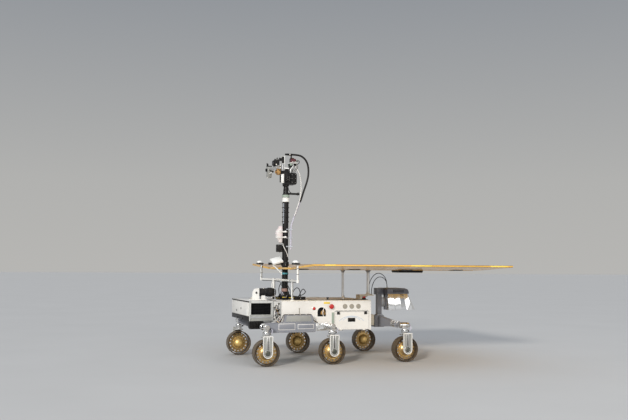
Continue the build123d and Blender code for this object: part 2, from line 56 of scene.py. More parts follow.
# ------------------------------------------------------------------ sizes
X_FRONT, X_REAR = 754.0, -882.0
WHEEL_R, WHEEL_W, TRACK_H = 142.5, 120.0, 600.0
LEG_Z = 410.0
FACE = 397.0
BODY_X0, BODY_X1 = -553.0, 522.0
BODY_Z0, DECK_Z = 350.0, 686.0
NOSE_X0, NOSE_X1, NOSE_H, NOSE_Z0, NOSE_Z1 = 624.0, 888.0, 400.0, 467.0, 686.0
X_NOSE, X_TAIL = 898.0, -1927.0
MAST_X, MAST_R, MAST_TOP, COLLAR_TOP, NECK_TOP = 363.0, 35.0, 1815.0, 1865.0, 2010.0
TILT_X, TILT_Z = 363.0, 2085.0
ARRAY_X1, ARRAY_YC, ARRAY_Y, ARRAY_Z, ARRAY_T, WING_RISE = 430.0, 450.0, 1200.0, 1034.0, 18.0, 40.0
STATIONS = [("front_left", X_FRONT, 1), ("front_right", X_FRONT, -1), ("middle_left", 0.0, 1),
            ("middle_right", 0.0, -1), ("rear_left", X_REAR, 1), ("rear_right", X_REAR, -1)]


# -------------------------------------------------------------- materials
def new_mat(name):
    m = bpy.data.materials.new(name)
    m.use_nodes = True
    nt = m.node_tree
    return m, nt, nt.nodes["Principled BSDF"]


def link(nt, a, b):
    nt.links.new(a, b)


def math_node(nt, op, a, b, clamp=False):
    n = nt.nodes.new("ShaderNodeMath")
    n.operation = op
    n.use_clamp = clamp
    for i, v in enumerate((a, b)):
        if v is None:
            continue
        if isinstance(v, (int, float)):
            n.inputs[i].default_value = v
        else:
            nt.links.new(v, n.inputs[i])
    return n.outputs[0]


def mix_col(nt, fac, a, b, blend="MIX"):
    n = nt.nodes.new("ShaderNodeMix")
    n.data_type = "RGBA"
    n.blend_type = blend
    for sock, v in ((n.inputs[0], fac), (n.inputs[6], a), (n.inputs[7], b)):
        if isinstance(v, (int, float)):
            sock.default_value = v
        elif isinstance(v, tuple):
            sock.default_value = (v[0], v[1], v[2], 1.0)
        else:
            nt.links.new(v, sock)
    return n.outputs[2]


def noise(nt, vec, scale, detail=4.0, rough=0.55, stretch=None):
    if stretch:
        mp = nt.nodes.new("ShaderNodeMapping")
        mp.inputs["Scale"].default_value = stretch
        nt.links.new(vec, mp.inputs["Vector"])
        vec = mp.outputs["Vector"]
    n = nt.nodes.new("ShaderNodeTexNoise")
    n.inputs["Scale"].default_value = scale
    n.inputs["Detail"].default_value = detail
    n.inputs["Roughness"].default_value = rough
    nt.links.new(vec, n.inputs["Vector"])
    return n.outputs["Fac"]


def ramp(nt, fac, stops):
    n = nt.nodes.new("ShaderNodeValToRGB")
    e = n.color_ramp.elements
    while len(e) < len(stops):
        e.new(0.5)
    for el, (p, c) in zip(e, stops):
        el.position = p
        el.color = (c[0], c[1], c[2], 1.0) if isinstance(c, tuple) else (c, c, c, 1.0)
    nt.links.new(fac, n.inputs["Fac"])
    return n.outputs["Color"]


DUST = (0.56, 0.44, 0.30)


def surface(name, color, rough, metal=0.0, vary=0.10, fine=220.0, bump=0.15, depth=0.0004, rough_vary=0.12,
            dust=0.35, brushed=None, edge=None, coat=0.0, scratches=0.0):
    """Painted or metal surface: tone variation, fine grain, dust on upward faces and in patches, worn edges."""
    m, nt, bs = new_mat(name)
    tc = nt.nodes.new("ShaderNodeTexCoord").outputs["Object"]
    low = noise(nt, tc, 5.5, 5.0, 0.6)
    mid = noise(nt, tc, 31.0, 6.0, 0.65)
    grain = noise(nt, tc, fine, 3.0, 0.6, brushed)
    dark = tuple(c * (1 - vary * 1.6) for c in color)
    lite = tuple(min(1.0, c * (1 + vary * 0.7)) for c in color)
    col = ramp(nt, low, [(0.30, dark), (0.55, color), (0.75, lite)])
    col = mix_col(nt, math_node(nt, "MULTIPLY", mid, vary), col, tuple(c * 0.55 for c in color))
    rough_out = math_node(nt, "ADD", math_node(nt, "MULTIPLY", math_node(nt, "SUBTRACT", mid, 0.5), rough_vary * 2), rough)
    if edge is not None:
        bev = nt.nodes.new("ShaderNodeBevel")
        bev.samples = 4
        bev.inputs["Radius"].default_value = 0.0016
        geo = nt.nodes.new("ShaderNodeNewGeometry")
        dot = nt.nodes.new("ShaderNodeVectorMath")
        dot.operation = "DOT_PRODUCT"
        nt.links.new(bev.outputs["Normal"], dot.inputs[0])
        nt.links.new(geo.outputs["Normal"], dot.inputs[1])
        gap = math_node(nt, "SUBTRACT", 1.0, dot.outputs["Value"])
        worn = math_node(nt, "MULTIPLY", math_node(nt, "MULTIPLY", gap, 9.0, True), ramp(nt, mid, [(0.46, 0.0), (0.58, 1.0)]), True)
        col = mix_col(nt, worn, col, edge)
    if scratches:
        sc = noise(nt, tc, 60.0, 2.0, 0.5, (1.0, 1.0, 0.06))
        sm = ramp(nt, sc, [(0.66, 0.0), (0.70, scratches)])
        col = mix_col(nt, sm, col, tuple(min(1.0, c * 1.5 + 0.04) for c in color))
    if dust:
        geo = nt.nodes.new("ShaderNodeNewGeometry")
        sep = nt.nodes.new("ShaderNodeSeparateXYZ")
        nt.links.new(geo.outputs["True Normal"], sep.inputs[0])
        up = math_node(nt, "MULTIPLY", math_node(nt, "ADD", sep.outputs["Z"], 0.25), 0.8, True)
        patch = ramp(nt, noise(nt, tc, 13.0, 7.0, 0.7), [(0.38, 0.0), (0.68, 1.0)])
        fac = math_node(nt, "MULTIPLY", math_node(nt, "ADD", math_node(nt, "MULTIPLY", up, 0.75), math_node(nt, "MULTIPLY", patch, 0.5)), dust, True)
        col = mix_col(nt, fac, col, DUST)
        rough_out = math_node(nt, "ADD", rough_out, math_node(nt, "MULTIPLY", fac, 0.45), True)
        if metal > 0.5:
            nt.links.new(math_node(nt, "SUBTRACT", metal, math_node(nt, "MULTIPLY", fac, 0.9), True), bs.inputs["Metallic"])
    if not (dust and metal > 0.5):
        bs.inputs["Metallic"].default_value = metal
    nt.links.new(col, bs.inputs["Base Color"])
    nt.links.new(rough_out, bs.inputs["Roughness"])
    if coat:
        bs.inputs["Coat Weight"].default_value = coat
        bs.inputs["Coat Roughness"].default_value = 0.12
    b = nt.nodes.new("ShaderNodeBump")
    b.inputs["Strength"].default_value = bump
    b.inputs["Distance"].default_value = depth
    nt.links.new(grain, b.inputs["Height"])
    nt.links.new(b.outputs["Normal"], bs.inputs["Normal"])
    return m


MAT = {}
MAT["white"] = surface("white_paint", (0.80, 0.79, 0.76), 0.40, vary=0.05, fine=420, bump=0.10, dust=0.12, edge=(0.48, 0.47, 0.44))
MAT["cream"] = surface("cream_paint", (0.78, 0.73, 0.61), 0.43, vary=0.06, dust=0.14, edge=(0.45, 0.42, 0.36))
MAT["light_grey"] = surface("light_grey_paint", (0.56, 0.57, 0.56), 0.42, vary=0.07, dust=0.14, edge=(0.34, 0.34, 0.34))
MAT["alu"] = surface("bare_aluminium", (0.74, 0.74, 0.73), 0.32, metal=1.0, vary=0.09, fine=90, brushed=(1.0, 14.0, 14.0), bump=0.12, depth=0.0002, dust=0.14)
MAT["alu_grey"] = surface("grey_anodised", (0.40, 0.41, 0.43), 0.38, metal=0.85, vary=0.10, dust=0.16)
MAT["polish"] = surface("polished_metal", (0.90, 0.90, 0.89), 0.10, metal=1.0, vary=0.04, rough_vary=0.05, bump=0.03, dust=0.06)
MAT["foil"] = surface("mirror_sheet", (0.90, 0.91, 0.92), 0.09, metal=1.0, vary=0.04, rough_vary=0.04, fine=16, bump=0.35, depth=0.003, dust=0.04)
MAT["blue"] = surface("blue_grey_paint", (0.21, 0.225, 0.265), 0.36, vary=0.07, fine=420, bump=0.08, dust=0.14, edge=(0.60, 0.61, 0.62))
MAT["midgrey"] = surface("mid_grey_paint", (0.29, 0.30, 0.29), 0.40, vary=0.07, fine=420, bump=0.08, dust=0.16, edge=(0.55, 0.55, 0.54))
MAT["darkblue"] = surface("dark_blue_paint", (0.125, 0.14, 0.18), 0.32, vary=0.10, dust=0.10, edge=(0.35, 0.36, 0.38))
MAT["black"] = surface("black_anodised", (0.007, 0.007, 0.008), 0.38, metal=0.0, vary=0.2, dust=0.02, edge=(0.10, 0.10, 0.10), scratches=0.15)
MAT["plastic"] = surface("black_plastic", (0.010, 0.010, 0.011), 0.52, vary=0.15, fine=700, bump=0.3, dust=0.03)
MAT["rubber"] = surface("cable_jacket", (0.009, 0.009, 0.010), 0.45, vary=0.15, fine=300, bump=0.12, dust=0.03)
MAT["gold"] = surface("gold_polished", (0.92, 0.64, 0.24), 0.42, metal=0.72, vary=0.08, rough_vary=0.08, bump=0.05, dust=0.10)
MAT["gold_disc"] = surface("gold_disc", (0.46, 0.30, 0.12), 0.28, metal=1.0, vary=0.15, fine=120, bump=0.12, dust=0.22)
MAT["tread"] = surface("tread_metal", (0.13, 0.098, 0.062), 0.44, metal=0.5, vary=0.26, fine=260, bump=0.30, dust=0.26)
# inside tread: a lighter, dustier copy of the tread, partly painted sunlight
MAT["tread_in"] = surface("tread_inside_dusty_and_sunlit", (0.17, 0.12, 0.07), 0.45, metal=0.55, vary=0.20, fine=260, bump=0.25, dust=0.30)
# dark bronze hoop, also used as painted shade by the rims inside the band
MAT["hoop"] = surface("dark_bronze_hoop_and_rim_shade", (0.075, 0.046, 0.024), 0.34, metal=0.7, vary=0.20, fine=200, bump=0.15, dust=0.14, edge=(0.40, 0.27, 0.12))
MAT["spring"] = surface("dark_spring", (0.10, 0.075, 0.045), 0.36, metal=0.9, vary=0.15, dust=0.20)
MAT["amber_edge"] = surface("amber_edge", (0.88, 0.50, 0.085), 0.32, vary=0.12, dust=0.03, coat=0.3)
# brighter amber: painted highlight for lengths of the array's edge
MAT["amber_painted_highlight"] = surface("amber_edge_painted_highlight", (0.95, 0.66, 0.10), 0.30, vary=0.06, dust=0.02, coat=0.3)
MAT["bronze"] = surface("bronze_anodised", (0.62, 0.36, 0.13), 0.28, metal=0.9, vary=0.10, dust=0.06)
MAT["gold_brown"] = surface("brown_gold", (0.44, 0.25, 0.09), 0.32, metal=0.8, vary=0.10, dust=0.06)
MAT["bronze_dark"] = surface("dark_bronze", (0.10, 0.045, 0.016), 0.36, metal=0.4, vary=0.14, dust=0.05)
MAT["red"] = surface("red_plastic", (0.50, 0.008, 0.006), 0.28, vary=0.06, dust=0.02, coat=0.4, bump=0.04)
MAT["maroon"] = surface("maroon_anodised", (0.08, 0.006, 0.014), 0.32, metal=0.3, vary=0.08, dust=0.04, bump=0.06)
MAT["yellow"] = surface("yellow_patch", (0.86, 0.62, 0.03), 0.45, vary=0.08, dust=0.06)
MAT["teal"] = surface("teal_tape", (0.05, 0.27, 0.33), 0.40, vary=0.10, dust=0.05)
MAT["radome"] = surface("radome_white", (0.86, 0.86, 0.83), 0.36, vary=0.04, fine=500, bump=0.05, dust=0.08)
MAT["greenstrip"] = surface("grey_green_paint", (0.30, 0.37, 0.31), 0.45, vary=0.06, dust=0.12)
MAT["cap_dark"] = surface("dark_green_cap", (0.075, 0.085, 0.070), 0.34, metal=0.6, vary=0.08, dust=0.12, edge=(0.40, 0.41, 0.38))
MAT["cap_grey"] = surface("cap_grey", (0.36, 0.34, 0.29), 0.40, metal=0.3, vary=0.06, dust=0.12)
MAT["footbrown"] = surface("foot_sleeve", (0.34, 0.20, 0.17), 0.50, vary=0.10, dust=0.10)
MAT["nickel"] = surface("nickel", (0.60, 0.57, 0.52), 0.24, metal=1.0, vary=0.06, dust=0.10)
MAT["label"] = surface("blank_label_plate", (0.52, 0.57, 0.64), 0.34, vary=0.04, dust=0.08, bump=0.04)
MAT["arc_blue"] = surface("pale_blue_line", (0.42, 0.55, 0.74), 0.40, vary=0.06, dust=0.06)
# near-black matte: painted shade for pockets, grooves, holes and socket interiors
MAT["recess_shade_black"] = surface("painted_recess_shade", (0.004, 0.004, 0.005), 0.80, vary=0.1, dust=0.0)
MAT["screw"] = surface("screw_steel", (0.50, 0.49, 0.47), 0.30, metal=1.0, vary=0.06, dust=0.12)
MAT["sleeve"] = surface("pale_sleeve", (0.56, 0.56, 0.66), 0.60, vary=0.10, fine=900, bump=0.5, dust=0.08)
MAT["white_cord"] = surface("white_cable_jacket", (0.82, 0.80, 0.76), 0.45, vary=0.05, fine=300, bump=0.10, dust=0.08)


def lens_glass(name, tint):
    m, nt, bs = new_mat(name)
    tc = nt.nodes.new("ShaderNodeTexCoord").outputs["Object"]
    col = ramp(nt, noise(nt, tc, 60.0, 2.0), [(0.3, tuple(c * 0.6 for c in tint)), (0.7, tint)])
    nt.links.new(col, bs.inputs["Base Color"])
    bs.inputs["Roughness"].default_value = 0.03
    bs.inputs["Coat Weight"].default_value = 1.0
    bs.inputs["Coat Roughness"].default_value = 0.02
    bs.inputs["IOR"].default_value = 1.6
    return m


MAT["glass"] = lens_glass("lens_glass", (0.010, 0.012, 0.020))
MAT["glass2"] = lens_glass("lens_glass_violet", (0.030, 0.012, 0.035))


def woven(name, color, thread=900.0, dust=0.25, tint=None):
    """Plain-weave cloth: two crossed thread waves, fuzz and soft sheen."""
    m, nt, bs = new_mat(name)
    tc = nt.nodes.new("ShaderNodeTexCoord").outputs["Object"]
    waves = []
    for d in ("X", "Z"):
        w = nt.nodes.new("ShaderNodeTexWave")
        w.wave_type = "BANDS"
        w.bands_direction = d
        w.inputs["Scale"].default_value = thread / 6.0
        w.inputs["Distortion"].default_value = 0.6
        w.inputs["Detail"].default_value = 1.0
        nt.links.new(tc, w.inputs["Vector"])
        waves.append(w.outputs["Fac"])
    weave = math_node(nt, "MULTIPLY", waves[0], waves[1])
    low = noise(nt, tc, 18.0, 5.0)
    col = ramp(nt, low, [(0.3, tuple(c * 0.80 for c in color)), (0.7, color)])
    col = mix_col(nt, math_node(nt, "MULTIPLY", weave, 0.22), col, tuple(c * 0.6 for c in color))
    # pink patches laid at random; on the wrap they are painted shade, the pinkish shading seen on it
    if tint:
        col = mix_col(nt, ramp(nt, noise(nt, tc, 7.0, 3.0), [(0.45, 0.0), (0.65, 0.6)]), col, tint)
    col = mix_col(nt, math_node(nt, "MULTIPLY", ramp(nt, noise(nt, tc, 24.0, 6.0), [(0.4, 0.0), (0.75, 1.0)]), dust), col, DUST)
    nt.links.new(col, bs.inputs["Base Color"])
    bs.inputs["Roughness"].default_value = 0.85
    bs.inputs["Sheen Weight"].default_value = 0.3
    b = nt.nodes.new("ShaderNodeBump")
    b.inputs["Strength"].default_value = 0.5
    b.inputs["Distance"].default_value = 0.0004
    nt.links.new(weave, b.inputs["Height"])
    b2 = nt.nodes.new("ShaderNodeBump")
    b2.inputs["Strength"].default_value = 0.35
    b2.inputs["Distance"].default_value = 0.004
    nt.links.new(noise(nt, tc, 30.0, 4.0), b2.inputs["Height"])
    nt.links.new(b.outputs["Normal"], b2.inputs["Normal"])
    nt.links.new(b2.outputs["Normal"], bs.inputs["Normal"])
    return m


# white wrap cloth whose pink patches are painted shade
MAT["wrap"] = woven("white_wrap_cloth", (0.82, 0.77, 0.76), tint=(0.76, 0.50, 0.58))
MAT["webbing"] = woven("white_webbing", (0.80, 0.79, 0.76), thread=1500.0)
MAT["blackweb"] = woven("black_webbing", (0.02, 0.02, 0.022), thread=1500.0, dust=0.10)
for key in ("black", "plastic", "rubber", "recess_shade_black"):
    next(n for n in MAT[key].node_tree.nodes if n.type == "BSDF_PRINCIPLED").inputs["Specular IOR Level"].default_value = 0.18


def array_face(name, edge_col, cell_col):
    """Amber composite panel: fields with thin seams, low contrast, and a glossy coat."""
    m, nt, bs = new_mat(name)
    tc = nt.nodes.new("ShaderNodeTexCoord").outputs["Object"]
    br = nt.nodes.new("ShaderNodeTexBrick")
    br.offset = 0.0
    br.inputs["Scale"].default_value = 1.0
    br.inputs["Mortar Size"].default_value = 0.0016
    br.inputs["Mortar Smooth"].default_value = 0.1
    br.inputs["Brick Width"].default_value = 0.0845
    br.inputs["Row Height"].default_value = 0.0845
    br.inputs["Bias"].default_value = 0.0
    br.inputs["Color1"].default_value = (*cell_col, 1)
    br.inputs["Color2"].default_value = (cell_col[0] * 1.18, cell_col[1] * 1.14, cell_col[2] * 1.1, 1)
    br.inputs["Mortar"].default_value = (*edge_col, 1)
    nt.links.new(tc, br.inputs["Vector"])
    low = noise(nt, tc, 4.0, 5.0)
    col = mix_col(nt, math_node(nt, "MULTIPLY", low, 0.30), br.outputs["Color"], tuple(c * 0.5 for c in cell_col))
    geo = nt.nodes.new("ShaderNodeNewGeometry")
    sep = nt.nodes.new("ShaderNodeSeparateXYZ")
    nt.links.new(geo.outputs["True Normal"], sep.inputs[0])
    flat = math_node(nt, "GREATER_THAN", sep.outputs["Z"], 0.7)
    col = mix_col(nt, flat, edge_col, col)
    patch = ramp(nt, noise(nt, tc, 9.0, 7.0, 0.7), [(0.42, 0.0), (0.75, 1.0)])
    dust_f = math_node(nt, "MULTIPLY", math_node(nt, "MULTIPLY", patch, 0.35), flat)
    col = mix_col(nt, dust_f, col, DUST)
    nt.links.new(col, bs.inputs["Base Color"])
    nt.links.new(math_node(nt, "ADD", math_node(nt, "MULTIPLY", low, 0.22), 0.18), bs.inputs["Roughness"])
    bs.inputs["Coat Weight"].default_value = 0.4
    bs.inputs["Coat Roughness"].default_value = 0.08
    b = nt.nodes.new("ShaderNodeBump")
    b.inputs["Strength"].default_value = 0.4
    b.inputs["Distance"].default_value = 0.0006
    nt.links.new(br.outputs["Fac"], b.inputs["Height"])
    nt.links.new(b.outputs["Normal"], bs.inputs["Normal"])
    return m


MAT["amber"] = array_face("amber_panel", (0.88, 0.50, 0.085), (0.55, 0.28, 0.055))


# ------------------------------------------------------------ mesh maker
class Piece:
    """Collects faces with materials in millimetres, then makes one Blender object."""

    def __init__(self, name):
        self.name, self.v, self.f, self.fm, self.mats = name, [], [], [], []

    def slot(self, mat):
        if mat not in self.mats:
            self.mats.append(mat)
        return self.mats.index(mat)

    def add(self, verts, faces, mat, M=None):
        n = len(self.v)
        s = self.slot(mat)
        for p in verts:
            p = Vector(p)
            self.v.append(M @ p if M is not None else p)
        for f in faces:
            self.f.append([i + n for i in f])
            self.fm.append(s)

    def box(self, x0, x1, y0, y1, z0, z1, mat, c=1.5, M=None):
        """Box with chamfered edges."""
        x0, x1 = min(x0, x1), max(x0, x1)
        y0, y1 = min(y0, y1), max(y0, y1)
        z0, z1 = min(z0, z1), max(z0, z1)
        c = min(c, (x1 - x0) * 0.45, (y1 - y0) * 0.45, (z1 - z0) * 0.45)
        bm = bmesh.new()
        bmesh.ops.create_cube(bm, size=1.0)
        for v in bm.verts:
            v.co = Vector((x0 if v.co.x < 0 else x1, y0 if v.co.y < 0 else y1, z0 if v.co.z < 0 else z1))
        if c > 0:
            bmesh.ops.bevel(bm, geom=list(bm.edges), offset=c, segments=2, profile=0.5, affect="EDGES", clamp_overlap=True)
        self._take(bm, mat, M)

    def _take(self, bm, mat, M=None):
        bm.verts.index_update()
        self.add([v.co.copy() for v in bm.verts], [[v.index for v in f.verts] for f in bm.faces], mat, M)
        bm.free()

    def prism(self, pts, plane, a, b, mat, c=1.5, M=None):
        """Flat outline in a plane (xz, yz or xy), from a to b, with rounded edges."""
        def at(p, t):
            return {"xz": (p[0], t, p[1]), "yz": (t, p[0], p[1]), "xy": (p[0], p[1], t)}[plane]
        bm = bmesh.new()
        lo = [bm.verts.new(at(p, a)) for p in pts]
        hi = [bm.verts.new(at(p, b)) for p in pts]
        bm.faces.new(lo)
        bm.faces.new(hi)
        for i in range(len(pts)):
            j = (i + 1) % len(pts)
            bm.faces.new([lo[i], lo[j], hi[j], hi[i]])
        bmesh.ops.recalc_face_normals(bm, faces=list(bm.faces))
        if c > 0:
            sharp = [e for e in bm.edges if len(e.link_faces) == 2 and e.calc_face_angle(0) > math.radians(28)]
            bmesh.ops.bevel(bm, geom=sharp, offset=c, segments=2, profile=0.5, affect="EDGES", clamp_overlap=True)
        self._take(bm, mat, M)

    def spin(self, profile, origin, axis, mat, seg=32, closed=False, M=None):
        """Turns (distance along the axis, radius) points about the axis; mat may be a list, one per span."""
        a = Vector(axis).normalized()
        u = a.orthogonal().normalized()
        w = a.cross(u)
        o = Vector(origin)
        rings = []
        verts = []
        for d, r in profile:
            if abs(r) < 1e-6:
                rings.append([len(verts)])
                verts.append(o + a * d)
            else:
                rings.append(list(range(len(verts), len(verts) + seg)))
                for k in range(seg):
                    t = 2 * math.pi * k / seg
                    verts.append(o + a * d + (u * math.cos(t) + w * math.sin(t)) * r)
        spans = list(zip(rings, rings[1:]))
        if closed:
            spans.append((rings[-1], rings[0]))
        for i, (p, q) in enumerate(spans):
            m = mat[i] if isinstance(mat, list) else mat
            fs = []
            for k in range(seg):
                k2 = (k + 1) % seg
                if len(p) == 1 and len(q) == 1:
                    continue
                if len(p) == 1:
                    fs.append([p[0], q[k2], q[k]])
                elif len(q) == 1:
                    fs.append([p[k], p[k2], q[0]])
                else:
                    fs.append([p[k], p[k2], q[k2], q[k]])
            if i == 0:
                self.add(verts, fs, m, M)
                base = len(self.v) - len(verts)
            else:
                s = self.slot(m)
                for f in fs:
                    self.f.append([x + base for x in f])
                    self.fm.append(s)

    def cyl(self, p, q, r, mat, seg=28, c=1.0, r2=None):
        """Closed cylinder from p to q with small chamfers."""
        p, q = Vector(p), Vector(q)
        h = (q - p).length
        r2 = r if r2 is None else r2
        c = min(c, h * 0.4, r * 0.4, r2 * 0.4)
        self.spin([(0, 0), (0, r - c), (c, r), (h - c, r2), (h, r2 - c), (h, 0)], p, q - p, mat, seg)

    def ring(self, p, axis, r0, r1, h, mat, seg=32, c=0.6):
        """Flat ring with rounded edges, standing h along the axis from p."""
        self.spin([(0, r0), (0, r1), (h - c, r1), (h, r1 - c), (h, r0 + c), (h - c, r0)], p, axis, mat, seg, closed=True)

    def screw(self, p, axis, r=3.2, h=1.8, mat="screw"):
        """Cap screw head with a socket."""
        self.spin([(-0.5, r * 0.98), (h * 0.7, r), (h, r * 0.82), (h, r * 0.48), (h * 0.3, r * 0.44), (h * 0.3, 0)], p, axis, mat, 10)

    def bolt(self, p, axis, r=5.0, h=4.0, mat="screw", washer=True):
        if washer:
            self.spin([(0, 0), (0, r * 1.4), (0.9, r * 1.4), (0.9, 0)], p, axis, mat, 16)
        self.spin([(0.5, 0), (0.5, r), (h - 0.6, r), (h, r * 0.84), (h, 0)], p, axis, mat, 6)

    def tube(self, pts, r, mat, seg=10, caps=True):
        """Tube along a smoothed line through control points, for rigid conduits and wiring fixed to a surface."""
        line = smooth_line(pts)
        frames = frames_along(line)
        verts, faces = [], []
        for (o, u, w) in frames:
            for k in range(seg):
                t = 2 * math.pi * k / seg
                verts.append(o + (u * math.cos(t) + w * math.sin(t)) * r)
        n = len(frames)
        for i in range(n - 1):
            for k in range(seg):
                k2 = (k + 1) % seg
                faces.append([i * seg + k, i * seg + k2, (i + 1) * seg + k2, (i + 1) * seg + k])
        if caps:
            faces.append(list(range(seg))[::-1])
            faces.append([(n - 1) * seg + k for k in range(seg)])
        self.add(verts, faces, mat)

    def make(self, body, replaces=(), angle=32, local=None, weld=False):
        me = bpy.data.meshes.new(self.name)
        me.from_pydata([MM(*v) for v in self.v], [], self.f)
        for m in self.mats:
            me.materials.append(MAT[m])
        me.polygons.foreach_set("material_index", self.fm)
        bm = bmesh.new()
        bm.from_mesh(me)
        if weld:
            bmesh.ops.remove_doubles(bm, verts=list(bm.verts), dist=2e-6)
        bmesh.ops.recalc_face_normals(bm, faces=list(bm.faces))
        bm.to_mesh(me)
        bm.free()
        me.polygons.foreach_set("use_smooth", [True] * len(me.polygons))
        me.set_sharp_from_angle(angle=math.radians(angle))
        me.update()
        ob = bpy.data.objects.new(self.name, me)
        bpy.context.scene.collection.objects.link(ob)
        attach(ob, body)
        if replaces:
            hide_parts(*replaces)
        return ob


def smooth_line(pts, per=7):
    """Catmull-Rom line through control points."""
    p = [Vector(q) for q in pts]
    if len(p) == 2:
        return p
    p = [p[0] * 2 - p[1]] + p + [p[-1] * 2 - p[-2]]
    out = []
    for i in range(1, len(p) - 2):
        for k in range(per):
            t = k / per
            a, b, c, d = p[i - 1], p[i], p[i + 1], p[i + 2]
            out.append(0.5 * ((2 * b) + (c - a) * t + (2 * a - 5 * b + 4 * c - d) * t * t + (3 * b - a - 3 * c + d) * t ** 3))
    out.append(p[-2])
    return out


def frames_along(line):
    out = []
    u = None
    for i, o in enumerate(line):
        t = (line[min(i + 1, len(line) - 1)] - line[max(i - 1, 0)]).normalized()
        if u is None:
            u = t.orthogonal().normalized()
        else:
            u = (u - t * u.dot(t)).normalized()
        out.append((o, u, t.cross(u)))
    return out


def nurbs(name, pts, radius_mm, mat, body, bevel=True):
    """A cord's curve: a NURBS spline through the same route points as the part."""
    cu = bpy.data.curves.new(name, "CURVE")
    cu.dimensions = "3D"
    cu.resolution_u = 10
    if bevel:
        cu.bevel_depth = radius_mm / 1000.0
        cu.bevel_resolution = 4
        cu.use_fill_caps = True
    sp = cu.splines.new("NURBS")
    sp.points.add(len(pts) - 1)
    for q, p in zip(sp.points, pts):
        v = MM(*p)
        q.co = (v.x, v.y, v.z, 1.0)
    sp.order_u = 3
    sp.use_endpoint_u = True
    ob = bpy.data.objects.new(name, cu)
    bpy.context.scene.collection.objects.link(ob)
    if mat:
        cu.materials.append(MAT[mat])
    if body:
        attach(ob, body)
    return ob


def curve_points(ob):
    dg = bpy.context.evaluated_depsgraph_get()
    me = bpy.data.meshes.new_from_object(ob.evaluated_get(dg))
    pts = [ob.matrix_world @ v.co for v in me.vertices]
    bpy.data.meshes.remove(me)
    return pts


def line_length(pts):
    return sum((b - a).length for a, b in zip(pts, pts[1:]))


def dress(node, mat, bevel=1.2, angle=30):
    """Gives a CAD node its material, rounds its edges with modifiers and leaves its mesh alone."""
    ob = NODES[node]
    if not ob.material_slots:
        ob.data.materials.append(MAT[mat])
    for s in ob.material_slots:
        s.material = MAT[mat]
    if bevel:
        d = ob.modifiers.new("flat", "DECIMATE")
        d.decimate_type = "DISSOLVE"
        d.angle_limit = math.radians(0.4)
        b = ob.modifiers.new("edge", "BEVEL")
        b.width = bevel / 1000.0
        b.segments = 2
        b.limit_method = "ANGLE"
        b.angle_limit = math.radians(angle)
        b.use_clamp_overlap = True
        b.harden_normals = True
        b.miter_outer = "MITER_ARC"
    return ob


# ----------------------------------------------------------------- cords
HEAD_ROUTE = [(296, 14, 2374), (210, 12, 2374), (155, 8, 2351), (113, 4, 2309), (90, 0, 2254), (83, -2, 2190),
              (88, 0, 2124), (104, 2, 2060), (126, 4, 1998), (148, 3, 1936), (166, 1, 1874), (188, 0, 1814),
              (211, -1, 1757), (234, 0, 1700), (255, 0, 1648)]
HEAD_ROUTE_2 = [(258, 30, 2236), (232, 30, 2198), (208, 30, 2154), (192, 29, 2095), (185, 27, 2025), (184, 26, 1955),
                (190, 25, 1882), (206, 24, 1816), (226, 22, 1757), (244, 20, 1703), (260, 19, 1656)]
LOOM_ROUTE = [(257, 0, 1643), (278, 0, 1591), (293, 0, 1534), (296, 1, 1476), (296, 0, 1418), (295, 1, 1360),
              (296, 0, 1302), (296, 0, 1262)]
HOOP_1 = [(-712, 40, 736), (-712, 40, 790), (-722, 45, 850), (-746, 52, 906), (-788, 58, 946), (-838, 64, 948),
          (-880, 70, 916), (-900, 76, 868), (-900, 76, 814)]
HOOP_2 = [(-712, -50, 736), (-712, -50, 800), (-728, -60, 870), (-760, -66, 934), (-812, -74, 984),
          (-878, -82, 994), (-940, -88, 954), (-976, -94, 886), (-976, -94, 814)]
LOOP_1 = [(363, 37, 856), (363, 82, 856), (368, 121, 834), (374, 144, 795), (376, 147, 741), (376, 147, 687)]
LOOP_2 = [(401, 12, 880), (422, 14, 860), (437, 16, 831), (442, 18, 796), (438, 18, 758), (429, 17, 727), (424, 16, 699)]


def mesh_tube(name, route, radius, mats, spans, seg=14, rib=None):
    """Mesh tube that follows a route's NURBS line; spans give where along it each material starts (0 to 1)."""
    guide = nurbs(name + "_line", route, radius, None, None, bevel=False)
    bpy.context.view_layer.update()
    pts = curve_points(guide)
    bpy.data.objects.remove(guide)
    frames = frames_along(pts)
    me = bpy.data.meshes.new(name)
    verts, faces, fm = [], [], []
    total = line_length(pts)
    run = 0.0
    for i, (o, u, w) in enumerate(frames):
        if i:
            run += (pts[i] - pts[i - 1]).length
        for k in range(seg):
            t = 2 * math.pi * k / seg
            verts.append(o + (u * math.cos(t) + w * math.sin(t)) * radius / 1000.0)
        if i:
            m = max(j for j, s in enumerate(spans) if run / total >= s)
            for k in range(seg):
                k2 = (k + 1) % seg
                faces.append([(i - 1) * seg + k, (i - 1) * seg + k2, i * seg + k2, i * seg + k])
                fm.append(m)
    faces.append(list(range(seg))[::-1])
    fm.append(0)
    faces.append([(len(frames) - 1) * seg + k for k in range(seg)])
    fm.append(len(mats) - 1)
    me.from_pydata(verts, [], faces)
    for m in mats:
        me.materials.append(MAT[m])
    me.polygons.foreach_set("material_index", fm)
    me.polygons.foreach_set("use_smooth", [True] * len(me.polygons))
    me.set_sharp_from_angle(angle=math.radians(50))
    ob = bpy.data.objects.new(name, me)
    bpy.context.scene.collection.objects.link(ob)
    return ob, pts


head, head_pts = mesh_tube("head_cable_bundle", HEAD_ROUTE, 11, ["rubber", "sleeve"], [0.0, 0.80], seg=16)
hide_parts("head_cable")
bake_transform(head)

head2, head2_pts = mesh_tube("head_cable_white", HEAD_ROUTE_2, 4.5, ["white_cord", "white_cord"], [0.0, 0.5], seg=14)
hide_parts("head_cable_2")
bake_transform(head2)

